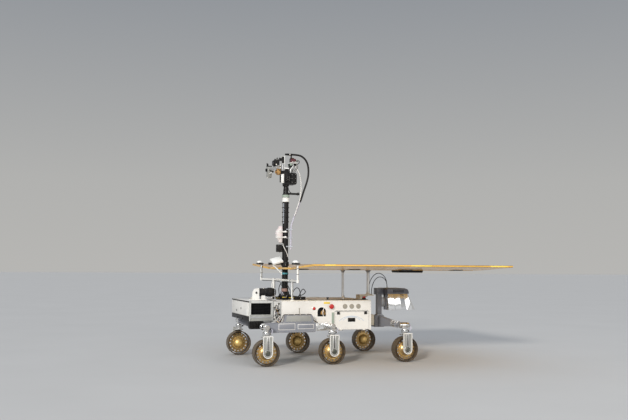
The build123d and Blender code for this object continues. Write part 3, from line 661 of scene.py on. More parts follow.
for nm, route, r, mat, slot_name, node in (
        ("mast_loom_bundle", LOOM_ROUTE, 11, "sleeve", "wrap_fabric", "mast_loom"),
        ("rear_hoop_cable_front", HOOP_1, 4, "rubber", "cable_black", "rear_hoop_cable"),
        ("rear_hoop_cable_back", HOOP_2, 4, "rubber", "cable_black", "rear_hoop_cable_2"),
        ("mast_loop_cable_side", LOOP_1, 5.5, "rubber", "cable_black", "mast_loop_cable"),
        ("mast_loop_cable_front", LOOP_2, 4.5, "rubber", "cable_black", "mast_loop_cable_2")):
    ob = nurbs(nm, route, r, mat, "root")
    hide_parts(node)
    flat = nurbs(nm + "_line", route, r, None, None, bevel=False)
    bpy.context.view_layer.update()
    ln = line_length(curve_points(flat))
    bpy.data.objects.remove(flat)


# ---------------------------------------------------------------- wheels
def perforated(pc, o, a, u, w, r_in, r_out, n, hole_r, hole_at, d0, d1, mat, sub=4):
    """Flat ring between r_in and r_out with n round holes, from d0 to d1 along the axis a."""
    half = hole_at * math.pi / n
    tlo, thi = r_in - hole_at, r_out - hole_at
    corners = [math.atan2(y, x) for x in (half, -half) for y in (tlo, thi)]
    angs = sorted([2 * math.pi * k / (sub * 4) - math.pi + 0.001 for k in range(sub * 4)] + corners)

    def edge(t):
        c, s = math.cos(t), math.sin(t)
        k = min([half / abs(c) if abs(c) > 1e-9 else 1e9, (thi / s if s > 1e-9 else 1e9), (tlo / s if s < -1e-9 else 1e9)])
        return k * c, k * s

    def at(s, t, k, d):
        th = (s / hole_at) + 2 * math.pi * k / n
        r = hole_at + t
        return o + a * d + (u * math.cos(th) + w * math.sin(th)) * r

    for k in range(n):
        verts, faces = [], []
        m = len(angs)
        for d in (d0, d1):
            for t in angs:
                verts.append(at(*edge(t), k, d))
            for t in angs:
                verts.append(at(math.cos(t) * hole_r, math.sin(t) * hole_r, k, d))
        for i in range(m):
            j = (i + 1) % m
            faces.append([i, j, m + j, m + i])
            faces.append([2 * m + j, 2 * m + i, 3 * m + i, 3 * m + j])
            faces.append([m + i, m + j, 3 * m + j, 3 * m + i])
            e1 = edge(angs[i])
            e2 = edge(angs[j])
            if (abs(e1[1] - thi) < 1e-6 and abs(e2[1] - thi) < 1e-6) or (abs(e1[1] - tlo) < 1e-6 and abs(e2[1] - tlo) < 1e-6):
                faces.append([j, i, 2 * m + i, 2 * m + j])
        pc.add(verts, faces, mat)


def wheel(name, ax, s):
    pc = Piece(name + "_wheel_detail")
    o = Vector((ax, TRACK_H * s, WHEEL_R))
    a = Vector((0, s, 0))                       # outboard
    u, w = Vector((1, 0, 0)), Vector((0, 0, 1))
    R = WHEEL_R - 2.6
    # crowned band, dusty outside and in, with dark bronze hoops along both rims; inside the band the hoops by the rims
    # are partly painted shade, and the lighter inside tread is partly painted sunlight
    out = [(-60, R - 5.5), (-59, R - 1.6), (-57, R - 0.4), (-46, R - 0.2), (-45, R - 1.0), (-25, R), (0, R + 0.2), (25, R), (45, R - 1.0), (46, R - 0.2), (57, R - 0.4), (59, R - 1.6), (60, R - 5.5)]
    inn = [(59, R - 7.8), (57, R - 7.9), (47, R - 6.0), (46, R - 4.2), (25, R - 3.4), (-25, R - 3.4), (-46, R - 4.2), (-47, R - 6.0), (-57, R - 7.9), (-59, R - 7.8)]
    mats = ["hoop"] * 4 + ["tread"] * 4 + ["hoop"] * 5 + ["hoop"] * 3 + ["tread_in"] * 3 + ["hoop"] * 4
    pc.spin(out + inn, o, a, mats, 72, closed=True)
    # grousers: shallow curved bars across the band
    n = 30
    for k in range(n):
        th0 = 2 * math.pi * k / n
        rows = []
        for i in range(9):
            d = -54 + 108 * i / 8
            sweep = 0.055 * (1 - (d / 54) ** 2)
            r0 = R - 0.6 - 0.6 * (abs(d) / 54) ** 2
            rows.append((d, th0 + sweep, r0))
        verts, faces = [], []
        hw = 1.7 / R
        for d, th, r0 in rows:
            for dt, rr in ((-hw * 1.4, r0), (-hw * 0.6, WHEEL_R - 0.15), (hw * 0.6, WHEEL_R - 0.15), (hw * 1.4, r0)):
                verts.append(o + a * d + (u * math.cos(th + dt) + w * math.sin(th + dt)) * rr)
        for i in range(8):
            for j in range(3):
                faces.append([i * 4 + j, i * 4 + j + 1, (i + 1) * 4 + j + 1, (i + 1) * 4 + j])
        faces.append([0, 1, 2, 3])
        faces.append([35, 34, 33, 32])
        pc.add(verts, faces, "tread")
    # thin curved leaf springs between the disc's hoop and the band
    n = 12
    for k in range(n):
        th0 = 2 * math.pi * k / n
        verts, faces = [], []
        m = 12
        for i in range(m + 1):
            t = i / m
            rr = 117.5 + (R - 3.9 - 117.5) * (0.5 - 0.5 * math.cos(math.pi * t))
            th = th0 + 0.34 * t
            c = u * math.cos(th) + w * math.sin(th)
            hh = 13.0 - 3.0 * math.sin(math.pi * t)
            for dd, dr in ((-hh, -0.8), (hh, -0.8), (hh, 0.8), (-hh, 0.8)):
                verts.append(o + a * (20 + dd) + c * (rr + dr))
        for i in range(m):
            for j in range(4):
                j2 = (j + 1) % 4
                faces.append([i * 4 + j, i * 4 + j2, (i + 1) * 4 + j2, (i + 1) * 4 + j])
        faces += [[3, 2, 1, 0], [m * 4, m * 4 + 1, m * 4 + 2, m * 4 + 3]]
        pc.add(verts, faces, "spring")
    # perforated disc and its hoop
    perforated(pc, o, a, u, w, 84, 112.4, 16, 8.5, 100, 16.5, 22.5, "gold_disc")
    pc.spin([(4, 115), (4.6, 117.4), (6, 118), (34, 118), (35.4, 117.4), (36, 115), (35, 112.6), (32, 112), (8, 112), (5, 112.6)], o, a, "hoop", 72, closed=True)
    for k in range(32):
        t = 2 * math.pi * (k + 0.5) / 32
        pc.screw(o + a * 22.5 + (u * math.cos(t) + w * math.sin(t)) * 109.6 if k % 2 else o + a * 22.5 + (u * math.cos(t) + w * math.sin(t)) * 88.5, a, 1.8, 1.2)
    # inboard flange and polished dome
    pc.spin([(19, 84.4), (15.4, 83.6), (14.6, 80), (14.6, 71), (12.6, 69.5), (12.6, 65)], o, a, ["gold_disc", "gold_disc", "gold_disc", "gold", "gold"], 56)
    for k in range(12):
        t = 2 * math.pi * (k + 0.5) / 12
        pc.screw(o + a * 14.6 + (u * math.cos(t) + w * math.sin(t)) * 76, -a, 2.4, 1.4)
    dome = []
    for i in range(19):
        t = math.radians(6.3 + (90 - 6.3) * i / 18)
        dome.append((20.3 - 66.3 * math.sin(t), 66.3 * math.cos(t) if i < 18 else 0))
    pc.spin(dome, o, a, "gold", 64)
    # outboard dish with a bright lip, drive housing and its screws
    pc.spin([(20, 84.4), (27, 84.6), (32.5, 83), (35, 80.5), (34.6, 78), (33, 76), (37.5, 63), (39.5, 60), (47, 50), (55.4, 41), (56.5, 39.5), (60, 37), (61, 35), (61, 13)], o, a,
            ["gold", "gold", "gold", "gold", "gold", "gold_disc", "gold_disc", "gold_disc", "gold_disc", "nickel", "nickel", "nickel", "nickel"], 64)
    for k in range(8):
        t = 2 * math.pi * k / 8
        c = u * math.cos(t) + w * math.sin(t)
        pc.screw(o + a * 35.0 + c * 69.5, a, 2.8, 3.0)
    pc.make(name + "_roll", replaces=(name + "_wheel",), angle=38)


for nm, ax, s in STATIONS:
    wheel(nm, ax, s)


# ---------------------------------------------------------------- forks
def capsule(ax, z_low, top, h, seg=14):
    """Outline in x-z: straight sides and a round lower end."""
    pts = [(ax - h, top), (ax - h, z_low)]
    for k in range(1, seg):
        t = math.pi + math.pi * k / seg
        pts.append((ax + h * math.cos(t), z_low + h * math.sin(t)))
    pts += [(ax + h, z_low), (ax + h, top)]
    return pts


def fork(name, ax, s):
    pc = Piece(name + "_fork_detail")
    y0, y1, y2 = (TRACK_H + 68) * s, (TRACK_H + 76) * s, (TRACK_H + 90) * s
    hw = 53.0
    pc.prism(capsule(ax, WHEEL_R, 325, hw), "xz", y0, y1, "midgrey", 1.2)
    # raised rim along both sides, round the lower end and over the top
    outer, inner = capsule(ax, WHEEL_R, 325, hw), capsule(ax, WHEEL_R, 315, hw - 7)
    verts, faces = [], []
    m = len(outer)
    for y in (y1 - 1 * s, y2):
        for q in outer:
            verts.append((q[0], y, q[1]))
        for q in inner:
            verts.append((q[0], y, q[1]))
    for i in range(m):
        j = (i + 1) % m
        faces += [[i, j, 2 * m + j, 2 * m + i], [m + j, m + i, 3 * m + i, 3 * m + j],
                  [2 * m + i, 2 * m + j, 3 * m + j, 3 * m + i], [j, i, m + i, m + j]]
    pc.add(verts, faces, "white")
    # central channel with a groove, from the crown down to the hub; the groove is near-black painted shade
    pc.box(ax - 15, ax - 5, y1, y1 + 9 * s, WHEEL_R + 34, 314, "alu", 1.2)
    pc.box(ax + 5, ax + 15, y1, y1 + 9 * s, WHEEL_R + 34, 314, "alu", 1.2)
    pc.box(ax - 5.5, ax + 5.5, y1, y1 + 1.5 * s, WHEEL_R + 34, 314, "recess_shade_black", 0.4)
    pc.tube([(ax, y1 + 5 * s, 312), (ax + 1, y1 + 5 * s, 250), (ax - 1, y1 + 5 * s, 210), (ax, y1 + 5 * s, 178)], 3.2, "rubber", 8)
    for z in (290, 262, 234, 206, 184):
        for dx in (-10, 10):
            pc.screw(Vector((ax + dx, y1 + 9 * s, z)), (0, s, 0), 2.2, 1.4)
    # ringed hub cap
    cc = Vector((ax, y1, WHEEL_R))
    ay = Vector((0, s, 0))
    pc.spin([(0, 36), (4, 36), (6, 34), (6, 30), (4, 28.5), (4, 25), (17, 23), (20, 20.5), (21, 16), (19, 14.5), (19, 9), (21.5, 7), (21.5, 0)], cc, ay,
            ["alu"] * 3 + ["cap_dark"] * 2 + ["nickel"] + ["cap_dark"] * 6, 40)
    for k in range(8):
        t = 2 * math.pi * (k + 0.5) / 8
        pc.screw(cc + Vector((32.2 * math.cos(t), 6 * s, 32.2 * math.sin(t))), ay, 2.0, 1.2)
    for k in range(10):
        t = math.pi + math.pi * k / 9
        pc.screw(cc + Vector((40 * math.cos(t), 0, 40 * math.sin(t))), ay, 2.3, 1.4)
    for z in (285, 250, 215, 180):
        for dx in (-40, 40):
            pc.screw(Vector((ax + dx, y1, z)), ay, 2.3, 1.4)
    # crown, flange, shaft, axle and its shoulder
    pc.box(ax - 46, ax + 46, (TRACK_H - 40) * s, y0 + 1 * s, 297, 309, "alu", 1.6)
    for dx in (-34, 34):
        pc.prism([((TRACK_H + 28) * s, 297.5), (y0, 297.5), (y0, 258)], "yz", ax + dx - 3, ax + dx + 3, "alu", 0.8)
    pc.cyl((ax, TRACK_H * s, 308.5), (ax, TRACK_H * s, 321.8), 30, "polish", 40, 1.2)
    for k in range(8):
        t = 2 * math.pi * k / 8
        pc.bolt(Vector((ax + 37.5 * math.cos(t), TRACK_H * s + 37.5 * math.sin(t), 309)), (0, 0, 1), 2.6, 2.6)
    pc.cyl((ax, TRACK_H * s, 300), (ax, TRACK_H * s, 356), 15, "polish", 32, 0.5)
    pc.cyl((ax, (TRACK_H - 38) * s, WHEEL_R), (ax, y1, WHEEL_R), 12, "polish", 28, 0.5)
    pc.cyl((ax, (TRACK_H + 62) * s, WHEEL_R), (ax, y0 + 1 * s, WHEEL_R), 24, "alu", 32, 0.8)
    pc.make(name + "_steer", replaces=(name + "_fork",), angle=34)


for nm, ax, s in STATIONS:
    fork(nm, ax, s)


# ----------------------------------------------------------------- legs
def leg_detail(pc, ax, s, lateral):
    c = Vector((ax, TRACK_H * s, 0))
    # steering drive: banded housing with a rounded shoulder
    pc.spin([(324, 15.1), (324, 38.5), (325.5, 40), (332, 40), (333, 37.5), (336, 37.5), (337, 40), (352, 40), (353, 38), (356, 38), (357, 39.5),
             (361, 38.6), (364, 35), (366, 28), (367, 25), (386, 24)], c, (0, 0, 1),
            ["alu", "alu", "polish", "black", "black", "black", "polish", "polish", "black", "black", "polish", "polish", "polish", "polish", "polish"], 48)
    for k in range(8):
        t = 2 * math.pi * (k + 0.5) / 8
        pc.screw(c + Vector((40 * math.cos(t), 40 * math.sin(t), 344.5)), (math.cos(t), math.sin(t), 0), 2.4, 1.2)
    pc.box(ax - 26, ax + 26, (TRACK_H - 26) * s, (TRACK_H + 26) * s, 385, 412, "alu", 4)
    if lateral:
        o, a, d0, d1 = Vector((ax, 498 * s, LEG_Z)), Vector((0, s, 0)), 0, 152
    else:
        o, a, d0, d1 = Vector((ax + 66, TRACK_H * s, LEG_Z)), Vector((-1, 0, 0)), 0, 121
    L = d1
    pc.spin([(0, 0), (0, 31), (1.5, 32), (16, 32), (17.5, 29.5), (21, 29.5), (22.5, 32), (L - 46, 32), (L - 44, 29), (L - 40, 29), (L - 38, 32), (L - 14, 32),
             (L - 11.5, 30.5), (L - 10, 26), (L - 9.4, 25), (L - 2, 24.4), (L, 22), (L, 9), (L - 1.5, 8), (L - 1.5, 0)], o, a,
            ["alu", "polish", "polish", "polish", "black", "black", "polish", "polish", "black", "black", "polish", "polish", "polish", "polish", "alu_grey", "nickel", "nickel", "nickel", "alu_grey"], 48)
    w1 = Vector((1, 0, 0)) if lateral else Vector((0, 1, 0))
    w2 = Vector((0, 0, 1))
    for k in range(8):
        t = 2 * math.pi * (k + 0.5) / 8
        r = w1 * math.cos(t) + w2 * math.sin(t)
        pc.screw(o + a * (L - 25) + r * 32, tuple(r), 2.2, 1.2)
        pc.screw(o + a * (L - 0.2) + r * 16, tuple(a), 2.0, 1.2)
    # connector boss with its plug, standing off the drive towards the rear
    if lateral:
        pc.cyl((ax - 20, TRACK_H * s, 398), (ax - 52, TRACK_H * s, 392), 9, "black", 20, 1.2)
    pc.cyl((ax - 38, TRACK_H * s, 344), (ax - 55, TRACK_H * s, 344), 10, "black", 20, 1.2)
    pc.ring(Vector((ax - 46, TRACK_H * s, 344)), (-1, 0, 0), 9, 12, 5, "nickel", 20)


for nm, ax, lateral in (("front_legs", X_FRONT, True), ("middle_legs", 0.0, True), ("rear_legs", X_REAR, False)):
    pc = Piece(nm + "_detail")
    for s in (1, -1):
        leg_detail(pc, ax, s, lateral)
        # pale drive conduit, curving from the boss into the steering drive
        if lateral:
            pc.tube([(ax - 54, TRACK_H * s, 391), (ax - 66, TRACK_H * s, 386), (ax - 70, TRACK_H * s, 370), (ax - 66, TRACK_H * s, 352), (ax - 54, TRACK_H * s, 344)], 5, "sleeve", 10)
        else:
            pc.tube([(ax - 54, (TRACK_H - 10) * s, 412), (ax - 72, (TRACK_H - 8) * s, 408), (ax - 80, (TRACK_H - 4) * s, 386), (ax - 74, TRACK_H * s, 358), (ax - 54, TRACK_H * s, 344)], 5.5, "sleeve", 10)
    pc.make("root", replaces=(nm,), angle=34)


# ---------------------------------------------------------- side bogies
dress("side_bogie_beams", "blue", 1.6)
dress("side_bogie_links", "polish", 2.5)
pc = Piece("bogie_fittings")
for s in (1, -1):
    y = 497 * s
    ay = (0, s, 0)
    # upper trapezoid's cap plate, with screws
    pc.prism([(204, 462), (218, 526), (488, 526), (502, 462)], "xz", y, y + 2.2 * s, "midgrey", 0.8)
    for x in range(226, 490, 42):
        pc.screw(Vector((x, y + 2.2 * s, 519)), ay, 2.6, 1.4)
        pc.screw(Vector((x, y + 2.2 * s, 469)), ay, 2.6, 1.4)
    # two blank label plates in the lower beam
    for x0, x1, z0, z1 in ((394, 584, 372, 442), (178, 364, 380, 432)):
        pc.box(x0, x1, y, y + 2.0 * s, z0, z1, "white", 0.8)
        for x in (x0 + 6, x1 - 6):
            for z in (z0 + 6, z1 - 6):
                pc.screw(Vector((x, y + 2.0 * s, z)), ay, 2.0, 1.0)
        pc.box(x0 + 5, x1 - 5, y + 1.9 * s, y + 2.5 * s, z0 + 5, z1 - 5, "blue", 0.3)
    # edge flanges along the beam
    pc.box(170, 672, y - 0.5 * s, y + 4 * s, 448, 455, "blue", 1.0)
    pc.box(172, 668, y - 0.5 * s, y + 4 * s, 345, 352, "blue", 1.0)
    for x in range(186, 670, 48):
        pc.screw(Vector((x, y + 4 * s, 451.5)), ay, 2.2, 1.2)
        pc.screw(Vector((x, y + 4 * s, 348.5)), ay, 2.2, 1.2)
    # front drive's mounting ring
    pc.ring(Vector((X_FRONT, y - 1 * s, LEG_Z)), ay, 32.3, 38, 8, "polish", 44)
    # ringed cap and bolts on the link
    pc.spin([(0, 0), (0, 33), (5, 33), (7, 31), (7, 25), (5, 24), (5, 20), (9, 18.5), (12, 15), (13, 0)], Vector((34, 495 * s, 418)), ay, ["polish", "polish", "polish", "polish", "alu_grey", "alu_grey", "polish", "polish", "polish"], 40)
    for k in range(8):
        t = 2 * math.pi * k / 8
        pc.screw(Vector((34 + 28 * math.cos(t), 502 * s, 418 + 28 * math.sin(t))), ay, 2.0, 1.2)
    pc.spin([(0, 0), (0, 18), (6, 18), (9, 15), (10, 0)], Vector((112, 495 * s, 412)), ay, "polish", 32)
    pc.box(128, 150, 494 * s, 502 * s, 372, 430, "polish", 3)
    for z in (380, 401, 422):
        pc.bolt(Vector((139, 502 * s, z)), ay, 4.0, 4)
    # pivot housing rings between beam and body
    for y0 in (409, 428, 447):
        pc.ring(Vector((360, y0 * s, 462)), ay, 47, 52, 5, "alu_grey", 44)
    for k in range(10):
        t = 2 * math.pi * k / 10
        pc.bolt(Vector((360 + 58 * math.cos(t), 407 * s, 462 + 58 * math.sin(t))), ay, 3.2, 3.5)
    # dark harness along the top edge of the beam, clamped
    pc.tube([(610, 470 * s, 457), (560, 470 * s, 460), (542, 470 * s, 486), (516, 472 * s, 534), (480, 472 * s, 537), (330, 472 * s, 537), (216, 472 * s, 537), (188, 471 * s, 520), (168, 470 * s, 470), (120, 470 * s, 446)], 4.2, "rubber", 8)
    for x in (470, 400, 330, 260):
        pc.box(x - 5, x + 5, 464 * s, 480 * s, 531, 543, "nickel", 1)
pc.make("root", angle=34)

# ----------------------------------------------------------- rear bogie
dress("rear_bogie_beam", "blue", 1.6)
pc = Piece("rear_bogie_fittings")
for s in (1, -1):
    ay = (0, s, 0)
    pc.ring(Vector((-866, 330 * s, 408)), ay, 35, 41, 10, "polish", 44)
    pc.ring(Vector((-866, 412 * s, 408)), ay, 35, 40, 12, "polish", 44)
    pc.spin([(0, 35.1), (2, 36.5), (60, 36.5), (62, 35.1)], Vector((-866, 345 * s, 408)), ay, "polish", 44)
    pc.spin([(0, 26.1), (2, 28), (40, 28), (42, 26.1)], Vector((-872, 434 * s, 414)), ay, "polish", 40)
    pc.ring(Vector((-872, 474 * s, 414)), ay, 26, 33, 8, "alu", 40)
    for k in range(8):
        t = 2 * math.pi * k / 8
        pc.screw(Vector((-866 + 38 * math.cos(t), 340 * s, 408 + 38 * math.sin(t))), ay, 2.0, 1.3)
    for x, z in ((-900, 396), (-900, 424), (-866, 396), (-866, 424)):
        pc.bolt(Vector((x, 560 * s, z + 18 if z > 410 else z - 8)), (0, 0, 1) if z > 410 else (0, 0, -1), 3.0, 3)
for y in (-46, -16, 16, 46):
    for z in (364, 476):
        pc.bolt(Vector((-869, y, z)), (-1, 0, 0), 4.0, 4)
for k in range(12):
    t = 2 * math.pi * k / 12
    pc.bolt(Vector((-567, 57 * math.cos(t), 420 + 57 * math.sin(t))), (-1, 0, 0), 3.4, 3.6)
pc.box(-738, -684, -66, 66, 372, 500, "cream", 4)
for x in (-600, -640, -740, -770):
    pc.ring(Vector((x, 0, 420)), (-1, 0, 0), 47, 51, 6, "alu_grey", 44)
pc.make("root", angle=34)


# ----------------------------------------------------------------- body
dress("body_shell", "alu_grey", 0)
dress("deck_plate", "white", 1.0)
dress("rear_shelf", "cream", 1.2)
dress("side_panels", "white", 1.5)
dress("battery_hatch", "white", 1.2)
dress("battery_pack", "plastic", 2.5)

pc = Piece("left_panel_fittings")
AY = (0, 1, 0)
# perimeter screws of the side panel
for x in range(-536, 520, 66):
    pc.screw(Vector((x, FACE, 678)), AY, 3.0, 1.5)
for x in range(-90, 520, 61):
    pc.screw(Vector((x, FACE, 358)), AY, 3.0, 1.5)
for z in range(372, 680, 51):
    pc.screw(Vector((514, FACE, z)), AY, 3.0, 1.5)
for z in range(576, 680, 34):
    pc.screw(Vector((-545, FACE, z)), AY, 3.0, 1.5)
# seam line and edge angle along the deck
pc.box(BODY_X0 + 2, BODY_X1 - 2, FACE - 10, FACE + 1.6, 680, 687.4, "cream", 0.8)
# small red lamp
pc.spin([(0, 0), (0, 20), (2.4, 20), (3.4, 18.5), (3.4, 16.5)], Vector((141, FACE, 596)), AY, "nickel", 28)
pc.spin([(3.0, 16.6), (6.5, 15.6), (9.0, 11), (10.2, 5), (10.4, 0)], Vector((141, FACE, 596)), AY, "red", 28)
# yellow patch beside the stop button
pc.box(-50, 26, FACE, FACE + 1.0, 648, 668, "yellow", 0.4)
# thin grey marker plate
pc.prism([(310, 545), (309, 585), (306, 594), (308, 602), (314, 606), (320, 602), (322, 594), (319, 585), (318, 545)], "xz", FACE, FACE + 1.6, "cap_grey", 0.4)
pc.box(306, 322, FACE, FACE + 2.4, 541, 547, "cap_grey", 0.5)
# grey-green strip in front of the hatch
pc.box(-98, -72, FACE, FACE + 4, 392, 552, "greenstrip", 1.2)
for z in (400, 436, 472, 508, 544):
    pc.screw(Vector((-85, FACE + 4, z)), AY, 2.2, 1.2)
# row of short dark dashes over the hatch
for x in range(-514, -118, 16):
    pc.box(x, x + 9, FACE - 0.4, FACE + 1.4, 567, 572, "black", 0.4)
# window: frame, pocket with a near-black back sheet as painted shade, a wound bronze coil and a white guard
wf_o = [(-5, 503)] + [(-5, 560)] + [(50 + 55 * math.cos(math.pi - math.pi * k / 18), 560 + 55 * math.sin(math.pi * k / 18)) for k in range(1, 18)] + [(105, 560), (105, 503)]
wf_i = [(0, 508)] + [(0, 560)] + [(50 + 50 * math.cos(math.pi - math.pi * k / 18), 560 + 50 * math.sin(math.pi * k / 18)) for k in range(1, 18)] + [(100, 560), (100, 508)]
m = len(wf_o)
verts, faces = [], []
for y in (FACE - 0.5, FACE + 4):
    verts += [(q[0], y, q[1]) for q in wf_o] + [(q[0], y, q[1]) for q in wf_i]
for i in range(m):
    j = (i + 1) % m
    faces += [[i, j, 2 * m + j, 2 * m + i], [m + j, m + i, 3 * m + i, 3 * m + j], [2 * m + i, 2 * m + j, 3 * m + j, 3 * m + i], [j, i, m + i, m + j]]
pc.add(verts, faces, "white")
pc.box(-1.5, 101.5, 389.2, 390.4, 506.5, 611, "recess_shade_black", 0)
for k in range(5):
    r = 8 + k * 5.2
    pc.tube([(30 + r * math.cos(t), 393.4, 524 + r * 1.9 * math.sin(t)) for t in [math.pi * (0.04 + 0.92 * q / 8) for q in range(9)]], 2.1, "bronze", 8)
pc.tube([(24, 396, 506), (36, 401, 536), (35, 402, 568), (26, 400, 592), (12, 396, 607)], 3.6, "radome", 10)
pc.tube([(84, 395, 508), (78, 396, 528), (70, 397, 546), (74, 395, 590)], 3.2, "rubber", 8)
pc.make("root", angle=34)

pc = Piece("side_controls_detail")
for x in (-232, -314, -396):
    pc.spin([(0, 0), (0, 28), (3, 28), (5, 26), (5, 22.5), (2.6, 21), (2.6, 12), (4.4, 10), (4.4, 0)], Vector((x, FACE, 617)), AY,
            ["cap_grey", "cap_grey", "cap_grey", "cap_grey", "cap_grey", "cap_grey", "cap_grey", "cap_grey"], 40)
    for k in range(6):
        t = 2 * math.pi * k / 6
        pc.screw(Vector((x + 16.5 * math.cos(t), FACE + 2.6, 617 + 16.5 * math.sin(t))), AY, 1.8, 1.0)
pc.spin([(0, 0), (0, 23), (3, 23), (4, 22), (4, 17), (14, 16.5), (14, 22), (16, 26), (19, 27), (25, 27), (29, 25), (32, 20), (33.6, 12), (34, 0)], Vector((-62, FACE, 618)), AY,
        ["cap_grey", "cap_grey", "cap_grey", "cap_grey", "plastic", "red", "red", "red", "red", "red", "red", "red", "red"], 40)
pc.make("root", replaces=("side_controls",), angle=34)

# hatch: latches, handle, pressed arcs, screws
pc = Piece("hatch_fittings")
for x in (-485, -151):
    pc.box(x - 17, x + 17, FACE, FACE + 5, 526, 559, "black", 1.4)
    pc.box(x - 13, x + 13, FACE, FACE + 15.5, 530, 558, "black", 2.5)
    pc.screw(Vector((x, FACE + 15.5, 544)), AY, 2.6, 1.2)
pc.box(-356, -268, FACE, FACE + 3, 443, 487, "black", 1.2)
pc.box(-352, -273, FACE, FACE + 13.5, 448, 482, "black", 2.5)
pc.tube([(-344, FACE + 10, 465), (-338, FACE + 15, 465), (-312, FACE + 17.5, 465), (-286, FACE + 15, 465), (-280, FACE + 10, 465)], 6.0, "black", 12)
for r, z0 in ((118, 425), (172, 400)):
    a0 = 0.16 * math.pi
    pts = [(-312 + r * math.cos(t), FACE + 0.4, z0 + r * 0.62 * math.sin(t)) for t in [a0 + (math.pi - 2 * a0) * q / 12 for q in range(13)]]
    pc.tube(pts, 2.2, "arc_blue", 8)
for x in range(-512, -120, 49):
    for z in (366, 550):
        if abs(x + 485) > 24 and abs(x + 151) > 24 or z == 366:
            pc.screw(Vector((x, FACE, z)), AY, 2.4, 1.3)
for z in range(392, 540, 36):
    for x in (-518, -119):
        pc.screw(Vector((x, FACE, z)), AY, 2.4, 1.3)
pc.make("hatch", angle=34)

# right panel: service plate, round connectors, screws
pc = Piece("right_panel_fittings")
RY = (0, -1, 0)
for x in range(-536, 520, 66):
    for z in (358, 678):
        pc.screw(Vector((x, -FACE, z)), RY, 3.0, 1.5)
for z in range(392, 660, 51):
    for x in (-545, 514):
        pc.screw(Vector((x, -FACE, z)), RY, 3.0, 1.5)
pc.box(BODY_X0 + 2, BODY_X1 - 2, -FACE - 1.6, -FACE + 10, 680, 687.4, "cream", 0.8)
pc.box(-500, -60, -FACE - 3, -FACE, 404, 628, "white", 1.4)
for x in range(-488, -60, 52):
    for z in (414, 618):
        pc.screw(Vector((x, -FACE - 3, z)), RY, 2.6, 1.4)
for z in (455, 496, 537, 578):
    for x in (-490, -70):
        pc.screw(Vector((x, -FACE - 3, z)), RY, 2.6, 1.4)
for i in range(9):
    z = 470 + i * 13
    pc.prism([(-FACE - 3, z), (-FACE - 8, z + 1), (-FACE - 8, z + 3), (-FACE - 3, z + 8)], "yz", -230, -110, "cap_grey", 0.3)
# connector sockets with near-black interiors as painted shade
for x, r in ((60, 20), (118, 20), (176, 14), (222, 14)):
    o = Vector((x, -FACE, 600))
    pc.spin([(0, 0), (0, r + 6), (3, r + 6), (4, r + 5), (4, r), (13, r - 0.5), (15, r - 2.5), (15, r - 5), (9, r - 5.5), (9, 0)], o, RY,
            ["nickel", "nickel", "nickel", "nickel", "nickel", "nickel", "nickel", "recess_shade_black", "recess_shade_black"], 32)
    for k in range(4):
        t = math.pi / 4 + math.pi / 2 * k
        pc.screw(o + Vector(((r + 3.4) * math.cos(t), -3.4, (r + 3.4) * math.sin(t))), RY, 1.5, 0.8)
pc.make("root", angle=34)

# deck: screws, knob, red cover, small ring, tie rails, equipment feet
pc = Piece("deck_fittings")
UP = (0, 0, 1)
for x in range(-536, 520, 88):
    for y in (-372, 372):
        pc.screw(Vector((x, y, DECK_Z)), UP, 3.4, 1.8)
for y in range(-310, 320, 62):
    for x in (-544, 512):
        pc.screw(Vector((x, y, DECK_Z)), UP, 3.4, 1.8)
# mounting pads round the payload bolt holes
for x in (-220, -20):
    for y in (-200, 200):
        pc.ring(Vector((x, y, DECK_Z)), UP, 5.0, 17, 2.0, "alu", 32, 0.5)
pc.spin([(0, 0), (0, 15), (6, 14), (9, 9), (17, 8), (19, 13), (24, 16), (29, 15), (32, 9), (33, 0)], Vector((-57, 300, DECK_Z)), UP, "black", 32)
pc.box(-524, -488, 282, 318, DECK_Z, DECK_Z + 22, "plastic", 2)
pc.box(-521, -491, 285, 315, DECK_Z + 22, DECK_Z + 40, "red", 4)
pc.ring(Vector((-450, 318, DECK_Z)), UP, 15, 21, 5, "white", 36, 1.5)
pc.cyl((-450, 318, DECK_Z), (-450, 318, DECK_Z + 14), 7, "nickel", 20)
for y in (-330, 330):
    pc.box(-180, 210, y - 7, y + 7, DECK_Z, DECK_Z + 8, "alu", 1.2)
    for x in range(-166, 210, 52):
        pc.screw(Vector((x, y, DECK_Z + 8)), UP, 2.6, 1.6)
# lifting eyes
for x in (-500, 470):
    for y in (-340,):
        pc.cyl((x, y, DECK_Z), (x, y, DECK_Z + 6), 14, "alu", 28)
        pc.tube([(x - 12, y, DECK_Z + 4), (x - 12, y, DECK_Z + 18), (x, y, DECK_Z + 30), (x + 12, y, DECK_Z + 18), (x + 12, y, DECK_Z + 4)], 4, "polish", 10)
pc.make("root", angle=34)

# back of the body: rear plate, connectors
pc = Piece("rear_plate_fittings")
BX = (-1, 0, 0)
pc.box(-557.5, BODY_X0, -372, 372, 366, 640, "white", 1.5)
for y in range(-356, 372, 54):
    for z in (374, 632):
        if not (abs(y) < 80 and z < 500):
            pc.screw(Vector((-557.5, y, z)), BX, 3.0, 1.6)
for z in (420, 470, 520, 570):
    for y in (-360, 360):
        pc.screw(Vector((-557.5, y, z)), BX, 3.0, 1.6)
# connector sockets with near-black interiors as painted shade
for y, z, r in ((-250, 560, 22), (-190, 560, 22), (-250, 500, 15), (-200, 500, 15), (230, 540, 26)):
    o = Vector((-557.5, y, z))
    pc.spin([(0, 0), (0, r + 6), (3, r + 6), (4, r + 5), (4, r), (14, r - 0.5), (16, r - 2.5), (16, r - 5), (10, r - 5.5), (10, 0)], o, BX,
            ["nickel"] * 7 + ["recess_shade_black", "recess_shade_black"], 32)
pc.box(-569, -557.5, 150, 320, 420, 480, "alu_grey", 2)
for i in range(6):
    pc.box(-575, -569, 158 + i * 27, 176 + i * 27, 426, 474, "alu_grey", 1)
pc.make("root", angle=34)


# ------------------------------------------------------------ front box
dress("front_bulkhead", "light_grey", 1.2)
dress("front_lower_box", "black", 2.0)
pc = Piece("front_box_detail")
N0, N1 = NOSE_X0, NOSE_X1
